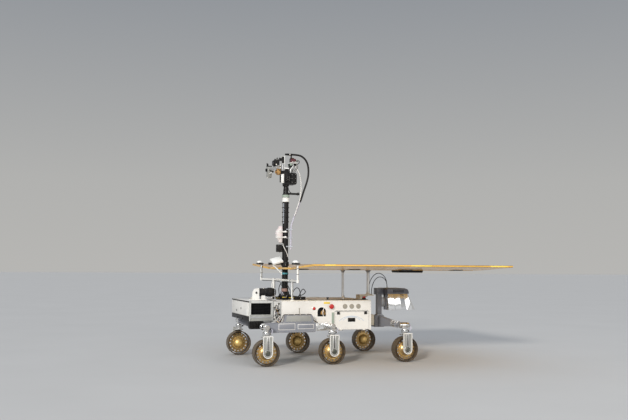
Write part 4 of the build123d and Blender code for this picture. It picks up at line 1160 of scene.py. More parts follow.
# box frame with side pockets; its near-black core is painted shade in the pockets
pc.box(N0 + 2, N1 - 2, -(NOSE_H - 46), NOSE_H - 46, NOSE_Z0 + 3, NOSE_Z1 - 3, "recess_shade_black", 1)
for s in (1, -1):
    ya, yb = (NOSE_H - 47) * s, NOSE_H * s
    pc.box(N0, N0 + 12, ya, yb, NOSE_Z0, NOSE_Z1, "light_grey", 1.6)
    pc.box(N1 - 18, N1, ya, yb, NOSE_Z0, NOSE_Z1, "light_grey", 1.6)
    pc.box(N0 + 8, N1 - 10, ya, yb, NOSE_Z0, 536, "midgrey", 1.6)
    pc.box(N0 + 8, N1 - 10, ya, yb, 661, NOSE_Z1, "light_grey", 1.6)
    # equipment in the pocket, near-black as painted shade
    pc.box(N0 + 22, N1 - 28, ya - 4 * s, ya + 10 * s, 548, 652, "recess_shade_black", 2)
    for i in range(7):
        pc.box(N0 + 34 + i * 28, N0 + 44 + i * 28, ya + 8 * s, ya + 16 * s, 556, 644, "recess_shade_black", 1.2)
    for i in range(3):
        z = 572 + i * 30
        pc.tube([(N0 + 20, ya + 22 * s, z), (N0 + 70, ya + 26 * s, z + 5), (N0 + 150, ya + 22 * s, z - 5), (N1 - 22, ya + 26 * s, z + 2)], 3.0, "recess_shade_black", 8)
    for x in range(int(N0) + 22, int(N1) - 10, 44):
        pc.screw(Vector((x, yb, 674)), (0, s, 0), 2.8, 1.5)
        pc.screw(Vector((x, yb, 526)), (0, s, 0), 2.8, 1.5)
    for z in (488, 558, 610, 640):
        pc.screw(Vector((N0 + 6, yb, z)), (0, s, 0), 2.4, 1.4)
        pc.screw(Vector((N1 - 7, yb, z)), (0, s, 0), 2.4, 1.4)
    # lip under the pocket
    pc.box(N0 + 4, N1 - 4, yb - 1 * s, yb + 3 * s, 500, 512, "alu_grey", 1.2)
# top and bottom plates
pc.box(N0, N1, -NOSE_H + 2, NOSE_H - 2, NOSE_Z1 - 6, NOSE_Z1, "white", 1.2)
pc.box(N0, N1, -NOSE_H + 2, NOSE_H - 2, NOSE_Z0, NOSE_Z0 + 6, "alu", 1.2)
for x in range(int(N0) + 16, int(N1), 58):
    for y in (-384, 384):
        pc.screw(Vector((x, y, NOSE_Z1)), UP, 3.0, 1.6)
# front plate with a fold, screws, a brighter cover and two small covered sockets
pc.box(N1, X_NOSE - 1.5, -372, 372, 520, 668, "white", 1.4)
pc.box(N1 - 6, N1 + 5, -388, 388, 670, 682, "black", 1.5)
pc.box(N1 - 6, N1 + 4, -388, 388, 467.5, 519, "black", 1.5)
for y in range(-360, 370, 60):
    for z in (528, 660):
        pc.screw(Vector((X_NOSE - 1.5, y, z)), (1, 0, 0), 2.6, 1.4)
pc.box(X_NOSE - 2, X_NOSE, 235, 345, 524, 592, "radome", 0.8)
for y, z in ((60, 590), (-140, 560)):
    pc.spin([(0, 0), (0, 13), (1.3, 13), (1.5, 11), (1.5, 0)], Vector((X_NOSE - 1.6, y, z)), (1, 0, 0), "plastic", 24)
# two low front cameras in the lower dark band
for y in (-110, 110):
    o = Vector((N1 + 4, y, 482))
    pc.spin([(0, 0), (0, 12), (2, 12), (3, 11), (4.4, 10.6), (4.4, 8.5), (3, 7.5)], o, (1, 0, 0), "black", 28)
    pc.spin([(3, 7.6), (3.6, 5), (3.9, 0)], o, (1, 0, 0), "glass", 28)
pc.make("root", replaces=("front_box",), angle=34)

pc = Piece("lower_box_fins")
for i in range(8):
    pc.box(730 + i * 17.5, 738 + i * 17.5, 374, 383, 390, 456, "black", 1.2)
for y in (310, 328, 346, 364):
    pc.box(867, 875, y - 5, y + 5, 390, 456, "black", 1.2)
pc.make("root", angle=34)

pc = Piece("bulkhead_connectors")


def frac(v):
    return v - math.floor(v)


for s in (1, -1):
    ay = Vector((0, s, 0))
    y = 372 * s
    pc.box(526, 618, y - 1 * s, y + 3 * s, 436, 672, "light_grey", 1.2)
    for i in range(9):
        x, z, r = 540 + 64 * frac(i * 0.618 + 0.2), 456 + i * 25 + 6 * math.sin(i * 2.3), 6.5 + 5.5 * frac(i * 0.47 + 0.3)
        pc.spin([(0, 0), (0, r + 3), (2, r + 3), (2, r), (8, r), (9, r + 1.2), (13 + r * 0.3, r + 1.2), (14 + r * 0.3, r), (19, r * 0.7), (20, 0)], Vector((x, y + 3 * s, z)), ay,
                ["nickel"] * 3 + (["black"] * 4 if i % 3 else ["nickel"] * 4) + ["plastic", "plastic"], 20)
    # short harness pieces fixed from connector to connector, of several thicknesses
    for i in range(13):
        x0, z0 = 538 + 66 * frac(i * 0.618 + 0.2), 452 + 206 * frac(i * 0.382 + 0.1)
        x1, z1 = 538 + 66 * frac(i * 0.734 + 0.5), 452 + 206 * frac(i * 0.382 + 0.1 + 0.22 * math.cos(i * 1.3))
        h = 14 + 16 * frac(i * 0.47)
        xm = min(612, max(532, (x0 + x1) / 2 + 30 * math.sin(i * 2.1)))
        zm = min(664, max(446, (z0 + z1) / 2 + 26 * math.cos(i * 1.7)))
        pc.tube([(x0, y + 8 * s, z0), (x0 + 3, y + h * s, z0 + 5), (xm, y + (h + 4) * s, zm), (x1 - 3, y + h * s, z1 - 5), (x1, y + 8 * s, z1)],
                2.2 + 1.6 * frac(i * 0.29), ("rubber", "sleeve", "rubber", "white_cord", "rubber", "bronze", "rubber")[i % 7], 8)
pc.make("root", angle=34)


# --------------------------------------------------------- survey camera
CAM_Y, CAM_Z = 120.0, 771.0
pc = Piece("survey_camera_detail")
o = Vector((514, CAM_Y, CAM_Z))
prof, mats = [], []


def seg(points, mat):
    for q in points:
        if prof:
            mats.append(mat)
        prof.append(q)


seg([(8, 31), (0, 32), (0, 36), (2, 37), (16, 37)], "black")
seg([(18, 43), (21, 46), (40, 46), (43, 48)], "black")
seg([(45, 50.5), (47, 52), (58, 52), (59, 50), (62, 50), (63, 52), (76, 52), (77, 50), (80, 50), (81, 52), (90, 52), (92, 50)], "plastic")
seg([(95, 46), (120, 46), (121, 44), (124, 44), (125, 46)], "black")
for i in range(5):
    d = 128 + i * 9
    seg([(d, 44), (d + 3, 44), (d + 3.6, 46), (d + 7, 46)], "plastic")
seg([(176, 46), (187, 46), (190, 43), (191, 38), (197, 38), (198, 36), (198, 0)], "black")
pc.spin(prof, o, (1, 0, 0), mats, 48)
pc.spin([(8, 31.2), (6, 20), (5, 0)], o, (1, 0, 0), "glass", 40)
pc.cyl((640, CAM_Y - 20, CAM_Z + 40), (640, CAM_Y - 22, CAM_Z + 49), 8, "nickel", 20)
pc.make("root", replaces=("survey_camera",), angle=36)
dress("camera_bracket", "white", 1.6)
pc = Piece("camera_bracket_fittings")
for k in range(4):
    t = math.pi / 4 + math.pi / 2 * k
    pc.screw(Vector((728, CAM_Y + 32 * math.cos(t), CAM_Z + 32 * math.sin(t))), (1, 0, 0), 3.0, 1.8)
for z in (706, 760, 800):
    pc.screw(Vector((721, CAM_Y + 44, z)), AY, 2.4, 1.4)
# dark eye through the near gusset, its near-black disc painted shade
pc.ring(Vector((746, CAM_Y + 44, 766)), AY, 10, 13, 1.5, "black", 28, 0.4)
pc.cyl((746, CAM_Y + 36, 766), (746, CAM_Y + 38, 766), 9.8, "recess_shade_black", 24, 0.3)
pc.box(744, 792, CAM_Y - 34, CAM_Y + 32, 696, 716, "cream", 4)
pc.spin([(0, 0), (0, 11), (14, 10), (16, 8), (16, 5), (24, 5), (26, 9), (31, 10), (34, 7), (35, 0)], Vector((766, CAM_Y - 4, 716)), UP,
        ["cream"] * 4 + ["black"] * 5, 24)
for x in (644, 799):
    for y in (-49, 49):
        pc.bolt(Vector((x, CAM_Y + y, 696)), UP, 4, 4)
# thin stand behind the camera
pc.cyl((536, CAM_Y + 62, DECK_Z - 10), (536, CAM_Y + 62, 826), 3.2, "alu_grey", 16)
pc.cyl((536, CAM_Y + 62, 826), (536, CAM_Y + 62, 905), 2.0, "black", 12)
pc.box(518, 546, CAM_Y + 52, CAM_Y + 72, 668, 700, "alu_grey", 2)
pc.make("root", angle=34)


# ----------------------------------------------------------------- mast
dress("mast_tube", "black", 0)
dress("mast_foot", "black", 1.5)
dress("mast_collar", "radome", 2.0)
dress("mast_neck", "black", 0)
dress("pan_tilt_drive", "black", 4.0)
dress("mast_clamps", "label", 1.0)
pc = Piece("mast_fittings")
# pale strip down the left front of the black tube, a painted highlight made as a cable cover, held by bands
a0 = math.radians(38)
cx, cy = MAST_X + 38.5 * math.cos(a0), 38.5 * math.sin(a0)
pc.tube([(cx, cy, 1806), (cx, cy, 1700), (cx, cy, 1560)], 3.6, "label", 8)
for z in range(1580, 1810, 55):
    pc.ring(Vector((MAST_X, 0, z)), UP, MAST_R, MAST_R + 8, 7, "plastic", 40)
pc.ring(Vector((MAST_X, 0, 1140)), UP, MAST_R, MAST_R + 5, 16, "black", 44, 1.0)
pc.ring(Vector((MAST_X, 0, 766)), UP, MAST_R, MAST_R + 6, 46, "footbrown", 44, 2.0)
pc.ring(Vector((MAST_X, 0, 812)), UP, MAST_R, MAST_R + 9, 6, "black", 44, 1.5)
pc.ring(Vector((MAST_X, 0, 758)), UP, MAST_R, MAST_R + 12, 8, "black", 44, 1.5)
for k in range(4):
    t = math.pi / 4 + k * math.pi / 2
    sx, sy = (1 if math.cos(t) > 0 else -1), (1 if math.sin(t) > 0 else -1)
    pc.bolt(Vector((MAST_X + 75 * sx, 26 * sy, DECK_Z + 12)), UP, 5, 5)
    pc.bolt(Vector((MAST_X + 26 * sx, 75 * sy, DECK_Z + 12)), UP, 5, 5)
pc.ring(Vector((MAST_X, 0, MAST_TOP + 4)), UP, 40, 43, 6, "radome", 44, 1.2)
pc.ring(Vector((MAST_X, 0, COLLAR_TOP - 10)), UP, 40, 43, 6, "radome", 44, 1.2)
for k in range(6):
    t = 2 * math.pi * k / 6
    pc.screw(Vector((MAST_X + 40 * math.cos(t), 40 * math.sin(t), MAST_TOP + 26)), (math.cos(t), math.sin(t), 0), 3, 1.6)
# harness clutter at the foot: junction blocks with fixed wiring on the deck
for i, (x, y, w, d, h) in enumerate(((470, 60, 44, 36, 34), (462, -66, 52, 40, 28), (272, 92, 48, 44, 40), (256, -78, 56, 46, 30), (404, 138, 40, 34, 26),
                                     (330, 150, 54, 36, 46), (244, 200, 122, 44, 36), (430, 190, 36, 30, 58))):
    pc.box(x - w / 2, x + w / 2, y - d / 2, y + d / 2, DECK_Z, DECK_Z + h, "black" if i % 4 != 2 else "plastic", 2)
    pc.cyl((x, y + d / 2, DECK_Z + h * 0.55), (x, y + d / 2 + 10, DECK_Z + h * 0.55), 6, "nickel", 16)
    pc.cyl((x, y - d / 2, DECK_Z + h * 0.55), (x, y - d / 2 - 10, DECK_Z + h * 0.55), 6, "nickel", 16)
    if i in (0, 5, 7):
        pc.box(x - w / 2 - 0.8, x + w / 2 + 0.8, y - d / 2 - 0.8, y + d / 2 + 0.8, DECK_Z + h * 0.46, DECK_Z + h * 0.58, "yellow", 0.5)
# pale conduit in front of the foot and dark ones behind it, clamped at both ends
pc.tube([(402, 62, 905), (470, 62, 922), (518, 60, 905), (536, 60, 863), (538, 60, 773), (524, 60, 728), (492, 60, 706)], 4.4, "white_cord", 8)
pc.tube([(-520, 380, 690), (-200, 381, 691), (60, 380, 690), (210, 381, 691)], 4, "rubber", 8)
pc.tube([(336, 150, 730), (300, 190, 810), (268, 200, 820), (246, 200, 790), (236, 200, 722)], 4.6, "rubber", 8)
pc.tube([(262, 200, 722), (214, 204, 806), (180, 204, 780), (206, 202, 748), (292, 200, 716)], 4.4, "rubber", 8)
pc.tube([(430, 190, 740), (452, 168, 776), (448, 120, 770), (420, 130, 712)], 3.2, "sleeve", 8)
for i in range(6):
    t = i * 1.05 + 0.4
    pc.tube([(MAST_X + 62 * math.cos(t), 62 * math.sin(t), DECK_Z + 10), (MAST_X + 56 * math.cos(t + 0.25), 56 * math.sin(t + 0.25), DECK_Z + 38),
             (MAST_X + 47 * math.cos(t + 0.6), 47 * math.sin(t + 0.6), DECK_Z + 54), (MAST_X + 40 * math.cos(t + 0.9), 40 * math.sin(t + 0.9), DECK_Z + 72)], 3.4,
            ("rubber", "sleeve", "rubber", "bronze", "rubber", "white_cord")[i], 8)
pc.make("root", angle=34)


def puffed(bm, name, pressure=4.0, cap=0.006):
    """Padded cloth: the starting form is remeshed, blown up a little as cloth, and the result is kept as plain mesh."""
    me = bpy.data.meshes.new(name + "_start")
    bm.to_mesh(me)
    bm.free()
    me.transform(Matrix.Translation(Vector((X0 / 1000.0, 0, 0))) @ Matrix.Scale(0.001, 4))
    raw = bpy.data.objects.new(name + "_start", me)
    bpy.context.scene.collection.objects.link(raw)
    rm = raw.modifiers.new("voxel", "REMESH")
    rm.mode = "VOXEL"
    rm.voxel_size = 0.005
    bpy.context.view_layer.update()
    soft_me = bpy.data.meshes.new_from_object(raw.evaluated_get(bpy.context.evaluated_depsgraph_get()))
    soft_me.name = name
    bpy.data.objects.remove(raw)
    ob = bpy.data.objects.new(name, soft_me)
    bpy.context.scene.collection.objects.link(ob)
    cl = ob.modifiers.new("puff", "CLOTH")
    cl.settings.quality = 5
    cl.settings.mass = 0.3
    cl.settings.use_pressure = True
    cl.settings.uniform_pressure_force = pressure
    cl.settings.effector_weights.gravity = 0.0
    cl.point_cache.frame_start = 1
    cl.point_cache.frame_end = 20
    for f in range(1, 21):
        bpy.context.scene.frame_set(f)
    blown = bpy.data.meshes.new_from_object(ob.evaluated_get(bpy.context.evaluated_depsgraph_get()))
    moved = [v.co.copy() for v in blown.vertices]
    bpy.data.meshes.remove(blown)
    ob.modifiers.remove(cl)
    bpy.context.scene.frame_set(1)
    for v, q in zip(soft_me.vertices, moved):
        d = q - v.co
        if d.length > cap:
            d *= cap / d.length
        v.co = v.co + d
    return ob


# strapped wrap on the mast: a padded cloth bundle, nipped where the straps go
bm = bmesh.new()
bmesh.ops.create_cube(bm, size=1.0)
for v in bm.verts:
    v.co = Vector((404 if v.co.x < 0 else 478, -39 if v.co.y < 0 else 39, 1332 if v.co.z < 0 else 1534))
bmesh.ops.subdivide_edges(bm, edges=list(bm.edges), cuts=11, use_grid_fill=True)
for v in bm.verts:
    x, y, z = v.co
    tx, ty, tz = (x - 441) / 37, y / 39, (z - 1433) / 101
    k = 1.0 - 0.30 * abs(tz) ** 3.0
    sq = 1.0 / max(1.0, (abs(tx) ** 4 + abs(ty) ** 4) ** 0.25)
    lump = 1.0 + 0.05 * math.sin(z * 0.09 + tx * 2.0) + 0.04 * math.sin(z * 0.21 + ty * 3.0)
    # knob at the top, widest in the middle, tapered tail
    up_in = min(1.0, max(0.0, (z - 1478) / 22.0))
    low_in = min(1.0, max(0.0, (1396 - z) / 24.0))
    k *= (1.0 - 0.26 * up_in * up_in * (3 - 2 * up_in)) * (1.0 - 0.30 * low_in * low_in * (3 - 2 * low_in))
    v.co = Vector((404.0 + (x - 404.0) * k * (0.5 + 0.5 * sq) * lump, y * k * sq * lump,
                   1433 + (z - 1433) * (1 - 0.10 * (tx * tx + ty * ty) / 2) if abs(tz) > 0.9 else z))
wrap = puffed(bm, "mast_wrap")
for v in wrap.data.vertices:
    x, y, z = v.co.x * 1000 - X0, v.co.y * 1000, v.co.z * 1000
    nip = 0.15 * math.exp(-((z - 1402) / 9.0) ** 2) + 0.15 * math.exp(-((z - 1466) / 9.0) ** 2)
    pleat = 1.2 * math.sin(math.atan2(y, x - 420) * 9 + z * 0.05) * (math.exp(-((z - 1402) / 22.0) ** 2) + math.exp(-((z - 1466) / 22.0) ** 2) + 0.4)
    fx, fy = x - 404, y
    ln = max(1e-6, math.hypot(fx, fy))
    x, y = 404 + fx * (1 - nip) + pleat * fx / ln, fy * (1 - nip) + pleat * fy / ln
    v.co = MM(min(486, max(399.5, x)), min(46, max(-46, y)), min(1542, max(1324, z)))
wrap.data.materials.clear()
wrap.data.materials.append(MAT["wrap"])
wrap.data.polygons.foreach_set("material_index", [0] * len(wrap.data.polygons))
wrap.data.polygons.foreach_set("use_smooth", [True] * len(wrap.data.polygons))
wrap.data.update()
sub = wrap.modifiers.new("soft", "SUBSURF")
sub.levels = 1
sub.render_levels = 1
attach(wrap, "root")
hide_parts("mast_pouch")

pc = Piece("wrap_straps")


def band(zc, half, mat):
    """Webbing band round the mast and the bundle, an oval loop."""
    n = 40
    verts, faces = [], []
    for k in range(n):
        t = 2 * math.pi * k / n
        cx = 417 if math.cos(t) > 0 else 363
        rx = 62 if math.cos(t) > 0 else MAST_R + 2.2
        x = cx + rx * math.copysign(abs(math.cos(t)) ** 0.75, math.cos(t))
        y = 42 * math.copysign(abs(math.sin(t)) ** 0.85, math.sin(t))
        if math.cos(t) <= 0:
            x = 363 + (MAST_R + 2.2) * math.cos(t)
            y = (MAST_R + 2.2) * math.sin(t) + (42 - MAST_R - 2.2) * math.sin(t) * (1 - abs(math.cos(t)))
        for dz, e in ((-half, 0), (half, 0), (half, 1.6), (-half, 1.6)):
            dd = Vector((x - 400, y, 0)).normalized() * e
            verts.append((x + dd.x, y + dd.y, zc + dz))
    for k in range(n):
        k2 = (k + 1) % n
        for j in range(4):
            j2 = (j + 1) % 4
            faces.append([k * 4 + j, k * 4 + j2, k2 * 4 + j2, k2 * 4 + j])
    # dark webbing round the mast, pale over the bundle
    for part, m in (([f for f in faces if verts[f[0]][0] < 370], "blackweb"), ([f for f in faces if verts[f[0]][0] >= 370], mat)):
        used = sorted({i for f in part for i in f})
        at = {i: n2 for n2, i in enumerate(used)}
        pc.add([verts[i] for i in used], [[at[i] for i in f] for f in part], m)


for z in (1402, 1466):
    band(z, 8, "webbing")
    # buckle beads on the side of the tube
    pc.spin([(0, 0), (0, 9), (3, 12), (9, 12), (12, 9), (12, 0)], Vector((378, 43, z + 2)), (0.2, 1, 0), "radome", 24)
# diagonal white strap down to the mast
pc.tube([(398, 20, 1330), (394, 28, 1300), (376, 39, 1260), (354, 40, 1215), (343, 36, 1178)], 4.2, "webbing", 8)
pc.make("root", angle=40)

# black item under the wrap
pc = Piece("mast_box_detail")
pc.box(399, 468, -26, 26, 1231, 1318, "black", 5)
pc.box(404, 464, 26, 30, 1238, 1311, "plastic", 1.5)
pc.box(404, 464, -30, -26, 1238, 1311, "plastic", 1.5)
for z in (1242, 1307):
    for x in (410, 458):
        pc.screw(Vector((x, 30, z)), AY, 2.2, 1.2)
        pc.screw(Vector((x, -30, z)), RY, 2.2, 1.2)
for i in range(5):
    pc.box(468, 470, -20, 20, 1240 + i * 15, 1248 + i * 15, "plastic", 0.6)
pc.cyl((430, 0, 1231), (430, 0, 1222), 6, "nickel", 16)
pc.make("root", replaces=("mast_box",), angle=34)


# ------------------------------------------------------------------ head
pc = Piece("pan_drive_fittings")
pc.ring(Vector((MAST_X, 0, COLLAR_TOP + 4)), UP, 41, 44, 28, "greenstrip", 48, 1.5)
pc.ring(Vector((MAST_X, 0, 1897)), UP, 31, 39, 9, "black", 44, 1.5)
pc.ring(Vector((MAST_X, 0, 1950)), UP, 26, 30.5, 8, "black", 44, 1.5)
for k in range(8):
    t = 2 * math.pi * k / 8
    pc.screw(Vector((MAST_X + 44 * math.cos(t), 44 * math.sin(t), COLLAR_TOP + 18)), (math.cos(t), math.sin(t), 0), 2.4, 1.4)
# plug and stub of the cable arm
pc.cyl((207, 0, 1914), (196, 0, 1914), 11, "black", 24, 2)
pc.ring(Vector((222, 0, 1914)), (-1, 0, 0), 12, 15.5, 10, "nickel", 28)
pc.tube([(300, 8, 1925), (316, 10, 1934), (330, 12, 1956), (338, 10, 1990)], 4.0, "rubber", 8)
# drive block: side plates with screws, cooling ribs on the back, cover seams
for s in (1, -1):
    pc.prism([(266, NECK_TOP + 22), (314, NECK_TOP + 22), (314, 2144), (266, 2144), (257, 2134), (257, NECK_TOP + 32)], "xz", 59.5 * s, 63 * s, "black", 1.5)
    for x in (266, 308):
        for z in (NECK_TOP + 32, NECK_TOP + 80, 2134):
            pc.screw(Vector((x, 63 * s, z)), (0, s, 0), 2.6, 1.5)
    pc.spin([(0, 0), (0, 30), (4, 30), (6, 27), (6, 20), (4, 18), (4, 10)], Vector((TILT_X, 66 * s, TILT_Z)), (0, s, 0), "black", 40)
for i in range(9):
    pc.box(246, 251, -56 + i * 13, -50 + i * 13, NECK_TOP + 28, 2136, "black", 1)
pc.make("pan", angle=34)

pc = Piece("head_electronics_detail")
pc.box(246, 330, -60, 60, 2267, 2275, "radome", 1.4)
pc.box(292, 326, -30, 30, 2154, 2268, "black", 3)
for y in (-30, 30):
    sy = 1 if y > 0 else -1
    pc.prism([(326, 2154), (326, 2196), (290, 2240), (250, 2268), (250, 2262), (284, 2236), (308, 2196), (308, 2154)], "xz", y + 1 * sy, y + 5 * sy, "alu", 1)
# boxes under the tray
pc.box(250, 274, -44, 44, 2241, 2267, "plastic", 2.5)
pc.box(278, 297, -40, 40, 2246, 2267, "alu_grey", 2)
pc.box(301, 326, -44, 44, 2242, 2267, "greenstrip", 2)
for i in range(5):
    pc.box(249, 251.5, -36 + i * 16, -26 + i * 16, 2246, 2262, "nickel", 0.8)
# boxes on the tray
pc.box(254, 314, 4, 42, 2275, 2320, "maroon", 3)
pc.box(260, 308, 9, 37, 2320, 2323, "maroon", 1.2)
for x in (259, 309):
    for y in (9, 37):
        pc.screw(Vector((x, y, 2320)), UP, 2.2, 1.4)
for i in range(3):
    pc.cyl((264 + i * 18, 41, 2286), (264 + i * 18, 48, 2286), 5.5, "nickel", 18, 1)
pc.box(258, 306, -54, -4, 2275, 2329, "plastic", 3)
pc.box(262, 302, -50, -8, 2329, 2338, "bronze_dark", 2)
for i in range(6):
    pc.box(264 + i * 7, 267 + i * 7, -48, -10, 2337, 2340, "bronze_dark", 0.6)
# plug on top for the large cable, on its post
pc.box(298, 312, 6, 22, 2318, 2362, "black", 2)
pc.spin([(0, 0), (0, 13), (8, 13), (9, 11.5), (20, 11.5), (21, 13.5), (34, 13.5), (36, 12), (60, 12), (62, 11), (78, 11), (82, 9), (82, 0)], Vector((298, 14, 2373)), (1, 0, 0),
        ["black", "black", "plastic", "plastic", "black", "nickel", "black", "black", "plastic", "black", "black", "black"], 32)
# side plug and fixed wiring between tray and drive
pc.cyl((254, 26, 2300), (226, 26, 2302), 9, "black", 24, 1.5)
pc.ring(Vector((246, 26, 2300.6)), (-1, 0, 0), 9, 11.5, 8, "greenstrip", 24)
pc.tube([(228, 26, 2302), (214, 26, 2302), (208, 24, 2290), (214, 18, 2272), (236, 8, 2262), (252, 0, 2258)], 4.0, "rubber", 8)
for i, (ya, yb, m) in enumerate(((50, 34, "rubber"), (44, 20, "webbing"), (36, 10, "rubber"), (-50, -30, "bronze"), (-40, -14, "rubber"))):
    pc.tube([(256 + i * 4, ya, 2268), (240 + i * 3, ya + 2, 2252), (236 + i * 4, ya, 2222), (250 + i * 6, yb, 2190), (268 + i * 5, yb, 2156)], 2.3, m, 6)
for i in range(3):
    pc.tube([(272 + i * 9, 42, 2286), (274 + i * 9, 54, 2284), (266 + i * 7, 56, 2268), (262 + i * 6, 50, 2254), (268 + i * 5, 45, 2250)], 2.2, "rubber", 6)
pc.make("pan", replaces=("head_electronics",), angle=34)

dress("camera_bench", "alu", 1.0)
pc = Piece("camera_bench_fittings")
for s in (1, -1):
    pc.prism([(344.4, 2051.4), (412.6, 2051.4), (412.6, 2196), (351, 2196)], "xz", 77.4 * s, 88.6 * s, "black", 1.5)
    for x, z in ((352, 2064), (404, 2064), (360, 2184), (404, 2184)):
        pc.screw(Vector((x, 88.6 * s, z)), (0, s, 0), 2.6, 1.4)
    pc.ring(Vector((TILT_X, 88 * s, TILT_Z)), (0, s, 0), 10.5, 24, 4, "black", 36)
    for k in range(6):
        t = 2 * math.pi * k / 6
        pc.screw(Vector((TILT_X + 18 * math.cos(t), 92 * s, TILT_Z + 18 * math.sin(t))), (0, s, 0), 1.9, 1.1)
    for y in (120, 150, 210):
        pc.screw(Vector((468, y * s, 2222)), UP, 2.4, 1.4)
# white bracket on the near front of the yoke
pc.prism([(416, 2029.2), (440.4, 2026.2), (449.6, 2039.6), (449.6, 2127.5), (416, 2133.9)], "xz", 88.3, 95.6, "radome", 1.8)
pc.prism([(397.4, 2031.4), (416, 2029.2), (416, 2133.9), (412.2, 2134.6), (397.4, 2134.6)], "xz", 88.3, 96.4, "black", 1.8)
pc.box(418, 444, 95.4, 98, 2044, 2118, "radome", 1.2)
for z in (2050, 2112):
    pc.screw(Vector((424, 98, z)), AY, 2.6, 1.4)
# ball knob on a pale arm between the bench and the far camera
pc.tube([(492, -236, 2172), (486, -214, 2172), (478, -190, 2180), (472, -160, 2196), (472, -150, 2207)], 6, "radome", 10)
knob = [(-13 * math.cos(math.pi * i / 10), 13 * math.sin(math.pi * i / 10) if 0 < i < 10 else 0) for i in range(11)]
pc.spin(knob, Vector((474, -172, 2186)), (0, 0.3, -1), "black", 24)
# wiring from the cameras, held along the bench
pc.tube([(458, 214, 2212), (452, 150, 2214), (453, 60, 2214), (452, -60, 2214), (454, -200, 2214)], 3.4, "rubber", 8)
pc.tube([(452, -30, 2216), (440, -20, 2212), (426, 10, 2208), (414, 50, 2209), (398, 70, 2200)], 3.0, "rubber", 8)
pc.make("tilt", angle=34)

pc = Piece("stereo_cameras_detail")
pc.box(464, 500, 236, 276, 2222, 2318, "light_grey", 3)
pc.box(463, 469, 235.4, 276.8, 2221, 2318.6, "radome", 1)
pc.box(471, 500.6, 275.6, 277.4, 2232, 2310, "plastic", 0.8)
pc.box(466, 497, 238, 274, 2150, 2224, "alu_grey", 2)
for x in (470, 479, 488):
    pc.box(x, x + 4.5, 273.5, 276.4, 2154, 2218, "radome" if x != 479 else "black", 0.8)
o = Vector((500, 256, 2278))
pc.spin([(-1, 0), (-1, 18), (3, 18), (5, 17), (14, 17), (16, 19), (23, 20), (24, 19), (24, 16), (18, 14)], o, (1, 0, 0), ["black"] * 9, 40)
pc.spin([(18, 14), (20, 8), (20.6, 0)], o, (1, 0, 0), "glass2", 36)
for z in (2232, 2310):
    pc.screw(Vector((482, 277.4, z + (2 if z < 2300 else -2))), AY, 2.2, 1.2)
pc.cyl((482, 256, 2316), (482, 256, 2322), 8, "black", 20, 1.5)
pc.box(466, 518, -292, -236, 2121, 2250, "midgrey", 3)
pc.box(470, 514, -236.4, -234.6, 2128, 2240, "midgrey", 1.0)
pc.box(466, 518, -292, -236, 2249, 2262, "plastic", 2)
pc.box(508, 518, -290, -278, 2260, 2297, "plastic", 2)
pc.box(508, 518, -250, -238, 2260, 2286, "plastic", 2)
pc.box(480, 518, -284, -244, 2117, 2123, "radome", 2)
o = Vector((518, -264, 2210))
pc.spin([(-1, 0), (-1, 20), (6, 20), (8, 18.5), (14, 18.5), (16, 19), (16, 15), (10, 13)], o, (1, 0, 0), "black", 36)
pc.spin([(10, 13), (12, 7), (12.4, 0)], o, (1, 0, 0), "glass2", 32)
for z in (2132, 2164, 2236):
    pc.screw(Vector((492, -234.8, z)), AY, 2.2, 1.2)
pc.make("tilt", replaces=("stereo_cameras",), angle=34)

pc = Piece("zoom_camera_detail")
pc.box(452, 505, -50, 36, 2222, 2308, "black", 6)
o = Vector((505, -8, 2264))
pc.spin([(-1, 0), (-1, 33), (3, 33), (5, 30.5), (8, 30.5), (9, 29), (10.5, 29), (11.5, 30.5), (17, 31), (19, 30), (19, 27), (13, 25)], o, (1, 0, 0), ["black"] * 3 + ["plastic"] * 5 + ["black"] * 3, 44)
pc.spin([(13, 25), (16, 14), (17, 0)], o, (1, 0, 0), "glass", 40)
# knobs on top and side
pc.cyl((490, -24, 2307), (490, -24, 2319), 9, "black", 24, 2)
pc.cyl((464, -24, 2307), (464, -24, 2324), 6, "black", 24, 1.5)
pc.cyl((464, -24, 2322), (464, -24, 2333), 9, "black", 24, 2.5)
pc.cyl((480, 36, 2280), (480, 46, 2280), 13, "black", 28, 2)
pc.cyl((494, 36, 2246), (494, 44, 2246), 8, "nickel", 20, 1)
pc.cyl((474, 10, 2307), (474, 10, 2313), 10, "nickel", 24, 1.5)
for x in (460, 498):
    for z in (2230, 2300):
        pc.screw(Vector((x, 36, z)), AY, 2.3, 1.3)
pc.make("tilt", replaces=("zoom_camera",), angle=34)

pc = Piece("bench_sensors_detail")
pc.box(447, 490, 22, 68, 2124, 2197, "gold_brown", 7)
pc.box(452, 485, 67.4, 69.6, 2131, 2190, "gold_brown", 1.5)
pc.spin([(0, 0), (0, 21), (3, 21), (4, 20), (12, 20), (15, 20.5), (15, 17), (9, 15)], Vector((490, 45, 2158)), (1, 0, 0), "gold_brown", 32)
pc.spin([(9, 15), (11, 8), (11.5, 0)], Vector((490, 45, 2158)), (1, 0, 0), "glass", 28)
pc.cyl((462, 69, 2172), (462, 74, 2172), 7, "black", 20, 1.5)
for x, z in ((456, 2136), (481, 2136), (481, 2185)):
    pc.screw(Vector((x, 69.6, z)), AY, 1.8, 1.0)
pc.make("tilt", replaces=("bench_sensors",), angle=34)


